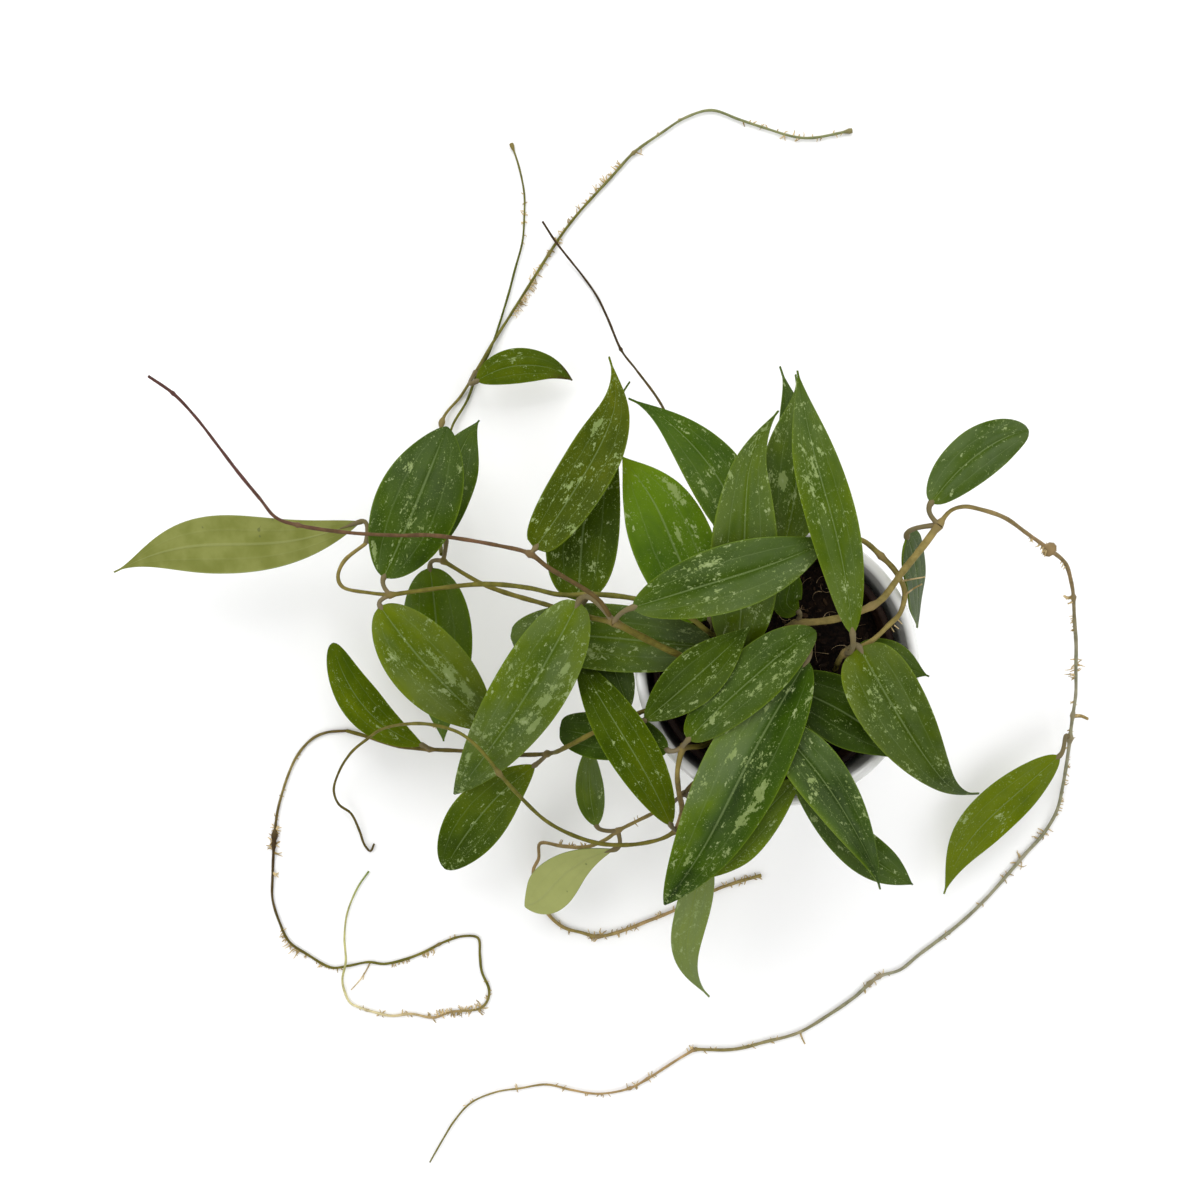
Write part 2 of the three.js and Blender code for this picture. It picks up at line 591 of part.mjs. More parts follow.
function nurseryPot() {
  const foot = POT_FLOOR + GAP;
  const top = foot + NURSERY_HEIGHT;
  const bottomRadius = nurseryRadius(0);
  const topRadius = nurseryRadius(NURSERY_HEIGHT);
  const profile = [
    [0, foot],
    [bottomRadius, foot],
    [topRadius, top - 5],
    [topRadius + NURSERY_LIP, top - 4],
    [topRadius + NURSERY_LIP, top - 0.6],
    [topRadius + NURSERY_LIP - 0.6, top],
    [topRadius - NURSERY_WALL + 0.4, top],
    [nurseryRadius(NURSERY_HEIGHT - 1) - NURSERY_WALL, top - 1],
    [nurseryRadius(NURSERY_WALL) - NURSERY_WALL, foot + NURSERY_WALL],
    [0, foot + NURSERY_WALL],
  ];
  let pot = turned(profile);
  for (let i = 0; i < DRAIN_HOLES; i += 1) {
    const angle = ((i + 0.5) * 2 * Math.PI) / DRAIN_HOLES;
    const drill = new THREE.CylinderGeometry(DRAIN_DIAMETER / 2, DRAIN_DIAMETER / 2, 6, HOLE_SIDES);
    drill.rotateX(Math.PI / 2);
    drill.translate(0.6 * bottomRadius * Math.cos(angle), 0.6 * bottomRadius * Math.sin(angle), foot);
    pot = pot.subtract(solid(drill));
  }
  return pot;
}

// The soil fills the nursery pot nearly to its rim, with a lumpy top and a plain hole for each stem.
function soil() {
  const bottom = POT_FLOOR + 2 * GAP + NURSERY_WALL;
  const inner = (z) => nurseryRadius(z - POT_FLOOR - GAP) - NURSERY_WALL - GAP;
  const edge = inner(SOIL_TOP);
  const geometry = new THREE.LatheGeometry(
    [
      [0, bottom],
      [inner(bottom), bottom],
      [edge, SOIL_TOP],
      [0.82 * edge, SOIL_TOP + 0.3 * SOIL_MOUND],
      [0.5 * edge, SOIL_TOP + 0.7 * SOIL_MOUND],
      [0, SOIL_TOP + SOIL_MOUND],
    ].map(([r, z]) => new THREE.Vector2(r, z)),
    ROUND_SIDES,
  ).rotateX(Math.PI / 2);
  const position = geometry.attributes.position;
  for (let i = 0; i < position.count; i += 1) {
    const [x, y, z] = [position.getX(i), position.getY(i), position.getZ(i)];
    if (z < SOIL_TOP + 0.1) continue;
    const lump = 1.1 * Math.sin(0.23 * x + 1) * Math.cos(0.19 * y - 0.6) + 0.5 * Math.sin(0.47 * y);
    position.setZ(i, z + lump);
  }
  let mass = solid(geometry);
  for (const { stretches } of Object.values(VINES)) {
    const [x, y, z] = stretches[0].points[0];
    if (z > SOIL_TOP) continue;
    const radius = stretches[0].radius + HOLE_CLEARANCE;
    const hole = new THREE.CylinderGeometry(radius, radius, 2 * STEM_DEPTH + 2 * GAP, HOLE_SIDES);
    hole.rotateX(Math.PI / 2);
    hole.translate(x, y, z + STEM_DEPTH);
    mass = mass.subtract(solid(hole));
  }
  return mass;
}

// The line along the middle of a blade.
class Midrib extends THREE.Curve {
  constructor({ base, tip, arch = 0, sweep = 0, snake = 0, curl = [0, 0] }) {
    super();
    this.base = new THREE.Vector3(...base);
    this.tip = new THREE.Vector3(...tip);
    this.left = this.tip.clone().sub(this.base).cross(UP).negate().normalize();
    this.rise = this.tip.clone().sub(this.base).cross(this.left).normalize();
    this.bow = [sweep, arch];
    this.snake = snake;
    this.curl = curl;
  }

  getPoint(t, target = new THREE.Vector3()) {
    const bulge = 4 * t * (1 - t);
    const late = Math.max(0, (t - 0.7) / 0.3) ** 2;
    const aside = this.bow[0] * bulge + this.snake * Math.sin(2 * Math.PI * t) + this.curl[0] * late;
    return target
      .lerpVectors(this.base, this.tip, t)
      .addScaledVector(this.left, aside)
      .addScaledVector(this.rise, this.bow[1] * bulge + this.curl[1] * late);
  }
}

// Half the width of a blade at a share of its length, as a share of its greatest half width.
function outline(t, { belly = 0.45, drip = 0.4, blunt = 0.7 }) {
  const bent = Math.min(Math.max(t, 1e-6), 1 - 1e-6) ** (Math.log(0.5) / Math.log(belly));
  return Math.sin(Math.PI * bent) ** (blunt + drip * t * t);
}

// A blade is a thin curved sheet: the same grid above and below its middle surface, closed round its edge.
function blade(leaf) {
  const { width, roll = 0, cup = 0 } = leaf;
  const midrib = new Midrib(leaf);
  const angle = THREE.MathUtils.degToRad(roll);
  const layers = [[], []];
  for (let row = 0; row <= BLADE_ROWS; row += 1) {
    const even = row / BLADE_ROWS;
    const t = (even + (1 - Math.cos(Math.PI * even)) / 2) / 2;
    const along = midrib.getTangent(t);
    const across = along.clone().cross(midrib.rise).normalize().applyAxisAngle(along, -angle);
    const out = across.clone().cross(along);
    const least = THREE.MathUtils.lerp(0.9, 0.4, t);
    const half = Math.max(least, (width / 2) * outline(t, leaf));
    for (let column = 0; column <= BLADE_COLUMNS; column += 1) {
      const v = (2 * column) / BLADE_COLUMNS - 1;
      const middle = midrib.getPoint(t).addScaledVector(across, v * half);
      middle.addScaledVector(out, cup * half * v * v);
      layers[0].push(middle.clone().addScaledVector(out, BLADE_THICKNESS / 2));
      layers[1].push(middle.addScaledVector(out, -BLADE_THICKNESS / 2));
    }
  }
  return closedSheet(layers[0], layers[1], BLADE_ROWS, BLADE_COLUMNS);
}

// Two grids of points, one above the other, joined into one closed shell, split into triangles alike.
function closedSheet(top, bottom, rows, columns) {
  const across = columns + 1;
  const at = (row, column) => row * across + column;
  const under = top.length;
  const faces = [];
  for (let row = 0; row < rows; row += 1) {
    for (let column = 0; column < columns; column += 1) {
      const corners = [at(row, column), at(row, column + 1), at(row + 1, column + 1), at(row + 1, column)];
      const [a, b, c, d] = corners;
      faces.push(a, b, c, a, c, d);
      faces.push(a + under, c + under, b + under, a + under, d + under, c + under);
    }
  }
  const rim = [];
  for (let column = 0; column < columns; column += 1) rim.push(at(0, column));
  for (let row = 0; row < rows; row += 1) rim.push(at(row, columns));
  for (let column = columns; column > 0; column -= 1) rim.push(at(rows, column));
  for (let row = rows; row > 0; row -= 1) rim.push(at(row, 0));
  rim.forEach((a, i) => {
    const b = rim[(i + 1) % rim.length];
    faces.push(a, b + under, b, a, a + under, b + under);
  });
  const geometry = new THREE.BufferGeometry().setFromPoints([...top, ...bottom]);
  geometry.setIndex(faces);
  geometry.computeVertexNormals();
  return geometry;
}

function smoothCurve(points) {
  return new THREE.CatmullRomCurve3(points.map((p) => new THREE.Vector3(...p)), false, "centripetal");
}

function ringCount(path, spacing) {
  return Math.max(2, Math.ceil(path.getLength() / spacing));
}

// A round stem along a curve, with a ring of corners every few millimetres.
function stem(path, radius, spacing) {
  const corners = [];
  for (let i = 0; i < STEM_SIDES; i += 1) {
    const angle = (i * 2 * Math.PI) / STEM_SIDES;
    corners.push(new THREE.Vector2(radius * Math.cos(angle), radius * Math.sin(angle)));
  }
  const steps = ringCount(path, spacing);
  const options = { steps, extrudePath: path, bevelEnabled: false, curveSegments: 1 };
  return solid(new THREE.ExtrudeGeometry(new THREE.Shape(corners), options));
}

// A petiole leaves the stem, bends, and runs in line with the blade that it carries, up to its base.
function petiole({ leaf, from }) {
  const midrib = new Midrib(LEAVES[leaf]);
  const along = midrib.getTangent(0);
  const start = new THREE.Vector3(...from);
  const end = midrib.base.clone().addScaledVector(along, -GAP);
  const reach = 0.4 * start.distanceTo(end);
  const before = end.clone().addScaledVector(along, -reach);
  const after = start.clone().lerp(before, 0.4);
  return stem(new THREE.CubicBezierCurve3(start, after, before, end), PETIOLE_RADIUS, PETIOLE_STEP);
}

// Short aerial roots stand out to both sides of a stretch of stem, a little above the surface it lies on.
// Each grows from the middle of one of the stem's rings.
function aerialRoots(path, radius, { spacing, after = 0.04 }, random) {
  const rings = ringCount(path, STEM_STEP);
  const count = Math.floor(((0.98 - after) * path.getLength()) / spacing);
  const roots = [];
  for (let i = 0; i < count; i += 1) {
    const wanted = after + ((0.98 - after) * (i + 0.2 + 0.6 * random())) / count;
    const place = Math.round(wanted * rings) / rings;
    const point = path.getPointAt(place);
    const side = path.getTangentAt(place).cross(UP).normalize().multiplyScalar(random() < 0.5 ? -1 : 1);
    side.applyAxisAngle(UP, 1.2 * (random() - 0.5)).addScaledVector(UP, 0.05 + 0.35 * random()).normalize();
    const reach = radius + 2 + 3 * random();
    const root = new THREE.ConeGeometry(0.65, reach, 3).translate(0, reach / 2, 0);
    root.applyQuaternion(new THREE.Quaternion().setFromUnitVectors(new THREE.Vector3(0, 1, 0), side));
    root.translate(point.x, point.y, Math.max(point.z, 1.2));
    roots.push(solid(root));
  }
  return roots;
}

function vine({ stretches, nodes, petioles, rooted = [] }, seed) {
  const random = randomFrom(seed);
  const paths = stretches.map(({ points }) => smoothCurve(points));
  const pieces = paths.map((path, i) => stem(path, stretches[i].radius, STEM_STEP));
  for (const [x, y, z, radius] of nodes) {
    pieces.push(solid(new THREE.IcosahedronGeometry(radius).translate(x, y, z)));
  }
  pieces.push(...petioles.map(petiole));
  for (const span of rooted) {
    pieces.push(...aerialRoots(paths[span.stretch], stretches[span.stretch].radius, span, random));
  }
  return pieces.reduce((whole, piece) => whole.add(piece));
}

const group = new THREE.Group();
group.add(named("cover_pot", geometryOf(coverPot()), finish(0xf2f1ee, 0.18)));
group.add(named("nursery_pot", geometryOf(nurseryPot()), finish(0x3a2620, 0.5)));
group.add(named("soil", geometryOf(soil()), finish(0x1b1310, 0.95)));

Object.entries(VINES).forEach(([name, parts], i) => {
  group.add(named(name, geometryOf(vine(parts, 11 + i)), finish(parts.color, 0.6)));
});

const BRIGHT_LEAVES = ["leaf_bright_north", "leaf_bright_west", "leaf_bright_south", "leaf_slim_south"];
for (const [name, leaf] of Object.entries(LEAVES)) {
  const top = BRIGHT_LEAVES.includes(name) ? LEAF_BRIGHT : LEAF_GREEN;
  group.add(named(name, blade(leaf), finish(leaf.roll === 180 ? LEAF_PALE : top, 0.4)));
}

export default group;
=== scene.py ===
# %% [markdown]
# # A trailing hoya in a white cover pot
#
# This script dresses a finished solid model of a houseplant: a hoya whose long stems hang out of a round
# white pot and lie on the table around it. The solids already have the right places and sizes, so each
# step below replaces some of them with finer pieces in the same place and gives those their finish.
# Everything is in metres with Z up, and the origin is the middle of the pot's underside.

# %% Load the solid model
import math
import random
from collections import namedtuple

import bpy
import numpy as np
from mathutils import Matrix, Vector


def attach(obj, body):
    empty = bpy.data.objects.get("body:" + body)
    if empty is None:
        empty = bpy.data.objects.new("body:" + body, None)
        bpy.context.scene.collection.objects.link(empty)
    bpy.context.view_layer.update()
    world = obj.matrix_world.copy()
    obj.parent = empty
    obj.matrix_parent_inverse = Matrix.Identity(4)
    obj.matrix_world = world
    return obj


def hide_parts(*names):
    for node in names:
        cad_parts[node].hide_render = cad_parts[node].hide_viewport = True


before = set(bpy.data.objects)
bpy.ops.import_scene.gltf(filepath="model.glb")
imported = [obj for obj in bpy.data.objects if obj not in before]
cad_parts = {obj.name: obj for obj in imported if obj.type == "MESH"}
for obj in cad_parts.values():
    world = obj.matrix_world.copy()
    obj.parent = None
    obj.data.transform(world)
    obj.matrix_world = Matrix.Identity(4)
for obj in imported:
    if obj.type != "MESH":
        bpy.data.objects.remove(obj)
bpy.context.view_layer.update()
MM = 0.001

# %% [markdown]
# ## Working by operators
#
# Blender's operators act on whatever is selected, just as they do in the window. The model arrives with all
# its parts selected, so each piece starts by deselecting everything. The helpers below are the few steps
# that come back for every piece: start clean, put the finished piece at the origin, join parts, and hide the
# solid that a piece replaces while hanging the piece under the root.


# %% Small helpers for objects
def start_clean():
    if bpy.context.object and bpy.context.object.mode != "OBJECT":
        bpy.ops.object.mode_set(mode="OBJECT")
    bpy.ops.object.select_all(action="DESELECT")


def select_only(*objects):
    start_clean()
    for thing in objects:
        thing.select_set(True)
    bpy.context.view_layer.objects.active = objects[0]


def settle(thing, name):
    """The object ends at the origin, unturned and unscaled, with its place in its mesh."""
    select_only(thing)
    bpy.ops.object.transform_apply(location=True, rotation=True, scale=True)
    thing.name = name
    thing.data.name = name
    return thing


def joined(parts, name):
    select_only(*parts)
    if len(parts) > 1:
        bpy.ops.object.join()
    return settle(bpy.context.object, name)


def stand_for(piece, node):
    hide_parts(node)
    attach(piece, "root")


def faces_of(piece):
    return len(piece.data.polygons)


# %% [markdown]
# ## Writing materials as sums
#
# A material is a small network of nodes. Written by hand, each sum costs several lines, so `Wire` wraps one
# output and adds the Math node when Python's own signs are used on it. `Paint` holds one material and adds
# any other node from its type, its settings and its inputs.


# %% Shader helpers
class Wire:
    """One output of a node. Arithmetic on it adds Math nodes."""

    def __init__(self, paint, socket):
        self.paint = paint
        self.socket = socket

    def _math(self, operation, first, second=0.0):
        return self.paint.node("ShaderNodeMath", {"operation": operation}, {0: first, 1: second})

    def __add__(self, other):
        return self._math("ADD", self, other)

    __radd__ = __add__

    def __sub__(self, other):
        return self._math("SUBTRACT", self, other)

    def __rsub__(self, other):
        return self._math("SUBTRACT", other, self)

    def __mul__(self, other):
        return self._math("MULTIPLY", self, other)

    __rmul__ = __mul__

    def __abs__(self):
        return self._math("ABSOLUTE", self)

    def most(self, other):
        return self._math("MAXIMUM", self, other)

    def step(self, start, end):
        """Goes smoothly from 0 at start to 1 at end; start may be the larger."""
        settings = {"interpolation_type": "SMOOTHSTEP", "clamp": True}
        return self.paint.node("ShaderNodeMapRange", settings, {0: self, 1: start, 2: end})


class Paint:
    """One material with its Principled shader."""

    def __init__(self, name, **constants):
        self.material = bpy.data.materials.new(name)
        self.material.use_nodes = True
        self.tree = self.material.node_tree
        self.shader = self.tree.nodes["Principled BSDF"]
        for socket, value in constants.items():
            self.shader.inputs[socket.replace("_", " ")].default_value = value

    def node(self, kind, settings, inputs, output=0):
        made = self.tree.nodes.new(kind)
        for key, value in settings.items():
            setattr(made, key, value)
        for key, value in inputs.items():
            self.feed(made.inputs[key], value)
        return Wire(self, made.outputs[output])

    def feed(self, socket, value):
        if isinstance(value, Wire):
            self.tree.links.new(value.socket, socket)
        else:
            socket.default_value = value

    def finish(self, **inputs):
        for key, value in inputs.items():
            self.feed(self.shader.inputs[key.replace("_", " ")], value)
        return self.material

    def mix(self, share, first, second):
        """Mixes two colours; each is a wire or three linear numbers."""
        full = [c if isinstance(c, Wire) else (*c, 1.0) for c in (first, second)]
        return self.node("ShaderNodeMix", {"data_type": "RGBA"}, {0: share, 6: full[0], 7: full[1]}, 2)

    def stored(self, name):
        """Three numbers that the mesh carries at each of its points."""
        return self.node("ShaderNodeAttribute", {"attribute_name": name}, {}, "Vector")

    def parts(self, vector):
        made = self.tree.nodes.new("ShaderNodeSeparateXYZ")
        self.feed(made.inputs[0], vector)
        return [Wire(self, made.outputs[i]) for i in range(3)]

    def stretched(self, vector, factors):
        return self.node("ShaderNodeVectorMath", {"operation": "MULTIPLY"}, {0: vector, 1: factors})

    def noise(self, vector, scale, detail=2.0, roughness=0.5):
        inputs = {"Vector": vector, "Scale": scale, "Detail": detail, "Roughness": roughness}
        return self.node("ShaderNodeTexNoise", {}, inputs)

    def object_place(self):
        return self.node("ShaderNodeTexCoord", {}, {}, "Object")

    def bump(self, height, strength, distance):
        inputs = {"Height": height, "Strength": strength, "Distance": distance}
        return self.node("ShaderNodeBump", {}, inputs)

    def size(self):
        return len(self.tree.nodes)


print("Wire does the sums, Paint holds a material")


# %% [markdown]
# ## Camera, floor and light
#
# The photograph looks straight down on the plant, from three quarters of a metre above the table. A wide
# lens that close makes the high leaves in the middle look larger than the stems on the table. The light is
# four large soft boxes around the table in a bright room, so the shadows are pale and wide, and the
# strongest box stands at the back. Each box has its place, the point that it faces, its size and its power.

# %% Camera
CAMERA_AT = Vector((-0.0811, 0.0296, 0.75))
SEEN_WIDTH = 0.6492
SENSOR = 36.0
NEAREST_SEEN = 0.01

camera_data = bpy.data.cameras.new("camera")
camera_data.sensor_width = SENSOR
camera_data.lens = SENSOR * CAMERA_AT.z / SEEN_WIDTH
camera_data.clip_start = NEAREST_SEEN
camera = bpy.data.objects.new("camera", camera_data)
camera.location = CAMERA_AT
bpy.context.collection.objects.link(camera)
bpy.context.scene.camera = camera
print("lens", round(camera_data.lens, 2), "mm")

# %% Floor
FLOOR_WIDTH = 6.0
FLOOR_WHITE = (0.90, 0.90, 0.90, 1.0)

start_clean()
bpy.ops.mesh.primitive_plane_add(size=FLOOR_WIDTH, location=(0, 0, 0))
floor = settle(bpy.context.object, "floor")
floor.data.materials.append(Paint("floor_white", Base_Color=FLOOR_WHITE, Roughness=0.8).material)
print("floor", FLOOR_WIDTH, "m wide")

# %% Light
ROOM_WHITE = (1.0, 1.0, 1.0, 1.0)
ROOM_STRENGTH = 0.50
SOFTBOXES = {
    "back_light": ((-0.2, 1.35, 1.35), (-0.05, 0.0, 0.05), 1.6, 24.0),
    "left_light": ((-1.6, 0.1, 1.25), (0.0, 0.0, 0.05), 1.4, 13.0),
    "right_light": ((1.45, 0.2, 1.25), (0.0, 0.0, 0.05), 1.4, 11.0),
    "front_light": ((-0.1, -1.35, 1.35), (0.0, 0.0, 0.05), 1.4, 11.0),
}

scene = bpy.context.scene
scene.view_settings.view_transform = "Standard"
scene.view_settings.look = "None"
world = bpy.data.worlds.new("studio")
scene.world = world
world.use_nodes = True
room = world.node_tree.nodes["Background"].inputs
room["Color"].default_value = ROOM_WHITE
room["Strength"].default_value = ROOM_STRENGTH


def softbox(name, place, aim, size, power):
    start_clean()
    bpy.ops.object.light_add(type="AREA", location=place)
    light = bpy.context.object
    light.name = name
    light.data.shape = "SQUARE"
    light.data.size = size
    light.data.energy = power
    light.rotation_euler = (Vector(aim) - Vector(place)).to_track_quat("-Z", "Y").to_euler()


for name, box in SOFTBOXES.items():
    softbox(name, *box)
print(len(SOFTBOXES), "softboxes")

# %% [markdown]
# ## The cover pot
#
# The outer pot is thick white ceramic under a clear glaze: a flat foot, a straight side that widens towards
# the top, and a rounded rim. A potter would throw it on a wheel. Here a circle is extruded ring by ring, each
# ring moved up and scaled, which is the same motion and leaves every ring where the profile wants it. The
# rim's rings lie close together, so it turns softly and catches a line of light.

# %% Profiles that turn
POT_RIM_RADIUS = 65.0
POT_FOOT_RADIUS = 50.0
POT_HEIGHT = 118.0
POT_WALL = 5.0
POT_FLOOR = 7.0
HUB = 2.0
POT_SIDES = 128
HARD_EDGE = math.radians(35)


def turned(name, profile, sides):
    """A closed shell from [radius, height] pairs in millimetres, from one end of its wall to the other."""
    start_clean()
    (radius, height), rest = profile[0], profile[1:]
    bpy.ops.mesh.primitive_circle_add(vertices=sides, radius=radius * MM, location=(0, 0, height * MM))
    shell = bpy.context.object
    bpy.ops.object.mode_set(mode="EDIT")
    bpy.ops.mesh.select_all(action="SELECT")
    bpy.ops.mesh.edge_face_add()
    bpy.ops.mesh.select_all(action="SELECT")
    bpy.ops.mesh.select_mode(type="EDGE")
    bpy.ops.mesh.region_to_loop()
    for next_radius, next_height in rest:
        lift = {"value": (0, 0, (next_height - height) * MM)}
        bpy.ops.mesh.extrude_edges_move(TRANSFORM_OT_translate=lift)
        grow = next_radius / radius
        bpy.ops.transform.resize(value=(grow, grow, 1), center_override=(0, 0, next_height * MM))
        radius, height = next_radius, next_height
    bpy.ops.mesh.edge_face_add()
    bpy.ops.mesh.select_all(action="SELECT")
    bpy.ops.mesh.normals_make_consistent(inside=False)
    bpy.ops.object.mode_set(mode="OBJECT")
    return settle(shell, name)


def arc(centre, radius, start, end, steps):
    """Points of a circle in the profile's plane, angles in degrees."""
    turns = [math.radians(start + (end - start) * i / steps) for i in range(steps + 1)]
    return [(centre[0] + radius * math.cos(a), centre[1] + radius * math.sin(a)) for a in turns]


def shaded_round(shell):
    select_only(shell)
    bpy.ops.object.shade_smooth_by_angle(angle=HARD_EDGE)


print("cover pot", 2 * POT_RIM_RADIUS, "mm wide and", POT_HEIGHT, "mm high")


# %% Cover pot shape
lip = POT_WALL / 2
rim_centre = (POT_RIM_RADIUS - lip, POT_HEIGHT - lip)
pot_profile = [
    (HUB, 0.0),
    (POT_FOOT_RADIUS - 4, 0.0),
    *arc((POT_FOOT_RADIUS - 3.4, 4.0), 4.0, -90, -10, 6),
    (POT_RIM_RADIUS - 1.5, POT_HEIGHT - 30),
    (POT_RIM_RADIUS - 0.4, POT_HEIGHT - 16),
    (POT_RIM_RADIUS, POT_HEIGHT - 8),
    *arc(rim_centre, lip, 0, 180, 14),
    (POT_RIM_RADIUS - POT_WALL - 0.2, POT_HEIGHT - 10),
    (POT_RIM_RADIUS - POT_WALL - 0.8, POT_HEIGHT - 30),
    (POT_FOOT_RADIUS - POT_WALL + 1, POT_FLOOR + 5),
    (POT_FOOT_RADIUS - POT_WALL - 1, POT_FLOOR + 1.2),
    (POT_FOOT_RADIUS - POT_WALL - 4, POT_FLOOR),
    (HUB, POT_FLOOR),
]
glazed_pot = turned("glazed_pot", pot_profile, POT_SIDES)
shaded_round(glazed_pot)
print("cover pot", faces_of(glazed_pot), "faces")

# %% Cover pot glaze
glaze = Paint("white_glaze", Coat_Weight=0.35, Coat_Roughness=0.06, IOR=1.5)
where = glaze.object_place()
cloud = glaze.noise(where, 22.0, 3.0)
pool = glaze.noise(where, 260.0, 2.0)
glaze.finish(
    Base_Color=glaze.mix(cloud.step(0.35, 0.7), (0.79, 0.79, 0.775), (0.84, 0.84, 0.83)),
    Roughness=0.16 + cloud * 0.1,
    Normal=glaze.bump(pool, 0.12, 0.0003),
)
glazed_pot.data.materials.append(glaze.material)
stand_for(glazed_pot, "cover_pot")
print("glaze", glaze.size(), "nodes")

# %% [markdown]
# ## The nursery pot
#
# Inside stands the thin brown plastic pot that the plant was raised in. Only its rolled rim and a ring of
# its inner wall are seen, between the soil and the ceramic. It is turned the same way, with drain holes cut
# through its bottom by Boolean modifiers, as a mould would leave them.

# %% Nursery pot shape
GAP = 0.3
NURSERY_RIM_RADIUS = 56.5
NURSERY_FOOT_RADIUS = 40.0
NURSERY_HEIGHT = 99.0
NURSERY_WALL = 1.2
NURSERY_LIP = 2.0
NURSERY_ROUND = 0.8
NURSERY_SIDES = 96
DRAIN_HOLES = 4
DRAIN_HOLE_RADIUS = 4.5
DRAIN_RING_RADIUS = 24.0
DRILL_LENGTH = 6.0
nursery_foot = POT_FLOOR + GAP
nursery_top = nursery_foot + NURSERY_HEIGHT


def nursery_radius(height):
    """Radius of the outer wall at a height above the pot's own foot."""
    top = NURSERY_RIM_RADIUS - NURSERY_LIP
    return NURSERY_FOOT_RADIUS + (top - NURSERY_FOOT_RADIUS) * height / NURSERY_HEIGHT


outer_top = nursery_radius(NURSERY_HEIGHT)
bead = (outer_top + NURSERY_LIP - NURSERY_ROUND, nursery_top - NURSERY_ROUND)
nursery_profile = [
    (HUB, nursery_foot),
    (NURSERY_FOOT_RADIUS - NURSERY_ROUND, nursery_foot),
    (NURSERY_FOOT_RADIUS, nursery_foot + NURSERY_ROUND),
    (outer_top, nursery_top - 5.0),
    (outer_top + NURSERY_LIP - 0.3, nursery_top - 4.2),
    (outer_top + NURSERY_LIP, nursery_top - 3.8),
    *arc(bead, NURSERY_ROUND, 0, 90, 5),
    (outer_top - NURSERY_WALL + 1.0, nursery_top),
    (outer_top - NURSERY_WALL + 0.2, nursery_top - 0.6),
    (nursery_radius(NURSERY_HEIGHT - 12) - NURSERY_WALL, nursery_top - 12),
    (NURSERY_FOOT_RADIUS - NURSERY_WALL, nursery_foot + NURSERY_WALL),
    (HUB, nursery_foot + NURSERY_WALL),
]
plastic_pot = turned("plastic_pot", nursery_profile, NURSERY_SIDES)
for i in range(DRAIN_HOLES):
    turn = math.radians(360 / DRAIN_HOLES * (i + 0.5))
    ring = Vector((math.cos(turn), math.sin(turn), 0)) * DRAIN_RING_RADIUS
    place = (ring + Vector((0, 0, nursery_foot))) * MM
    start_clean()
    size = {"radius": DRAIN_HOLE_RADIUS * MM, "depth": DRILL_LENGTH * MM}
    bpy.ops.mesh.primitive_cylinder_add(vertices=24, location=place, **size)
    drill = settle(bpy.context.object, "drill")
    select_only(plastic_pot)
    cut = plastic_pot.modifiers.new("drain", "BOOLEAN")
    cut.operation = "DIFFERENCE"
    cut.object = drill
    bpy.ops.object.modifier_apply(modifier=cut.name)
    bpy.data.objects.remove(drill)
shaded_round(plastic_pot)
print("nursery pot", faces_of(plastic_pot), "faces")

# %% Nursery pot plastic
plastic = Paint("brown_plastic", IOR=1.46, Specular_IOR_Level=0.25)
where = plastic.object_place()
dust = plastic.noise(where, 90.0, 4.0, 0.65)
plastic.finish(
    Base_Color=plastic.mix(dust.step(0.45, 0.75), (0.020, 0.008, 0.005), (0.052, 0.026, 0.016)),
    Roughness=0.42 + dust * 0.2,
    Normal=plastic.bump(plastic.noise(where, 900.0), 0.2, 0.0001),
)
plastic_pot.data.materials.append(plastic.material)
stand_for(plastic_pot, "nursery_pot")
print("plastic", plastic.size(), "nodes")

# %% [markdown]
# ## The soil
#
# The soil is dark peat with bits of bark and pale fibres. Its top is a disc that is subdivided and pushed
# about by a procedural texture through a Displace modifier, which gives crumbs at the scale of the real ones.
# Loose bits of bark are one chip, modelled once and copied, and the fibres are thin curves.

# %% Soil body
SOIL_TOP = 98.0
SOIL_MOUND = 3.0
SOIL_SIDES = 160
MOUND_POWER = 1.6
MOUND_RINGS = 40
MOUND_REACH = 0.97
CRUMBS = (("clods", 0.009, 2.6), ("crumbs", 0.0026, 1.7))
soil_foot = POT_FLOOR + 2 * GAP + NURSERY_WALL


def soil_radius(height):
    return nursery_radius(height - nursery_foot) - NURSERY_WALL - GAP


def mound(share):
    """The low mound's height in millimetres, at a share of the way from its middle to its edge."""
    return SOIL_TOP + SOIL_MOUND * (1 - share ** MOUND_POWER)


edge = soil_radius(SOIL_TOP)
soil_profile = [
    (HUB, soil_foot),
    (soil_radius(soil_foot) - 0.5, soil_foot),
    (soil_radius(50.0), 50.0),
    (edge, SOIL_TOP - 1.0),
]
for i in range(MOUND_RINGS + 1):
    share = 1 - MOUND_REACH * i / MOUND_RINGS
    soil_profile.append((edge * share, mound(share)))
potting_soil = turned("potting_soil", soil_profile, SOIL_SIDES)
top_points = potting_soil.vertex_groups.new(name="top")
high = [v.index for v in potting_soil.data.vertices if v.co.z > (SOIL_TOP - 0.5) * MM]
top_points.add(high, 1.0, "REPLACE")
for name, size, strength in CRUMBS:
    lumps = bpy.data.textures.new(name, "CLOUDS")
    lumps.noise_scale = size
    lumps.noise_depth = 3
    push = potting_soil.modifiers.new(name, "DISPLACE")
    push.texture = lumps
    push.vertex_group = "top"
    push.direction = "Z"
    push.texture_coords = "LOCAL"
    push.strength = strength * MM
    push.mid_level = 0.5
    select_only(potting_soil)
    bpy.ops.object.modifier_apply(modifier=name)
bpy.ops.object.shade_smooth()
print("soil", faces_of(potting_soil), "faces")


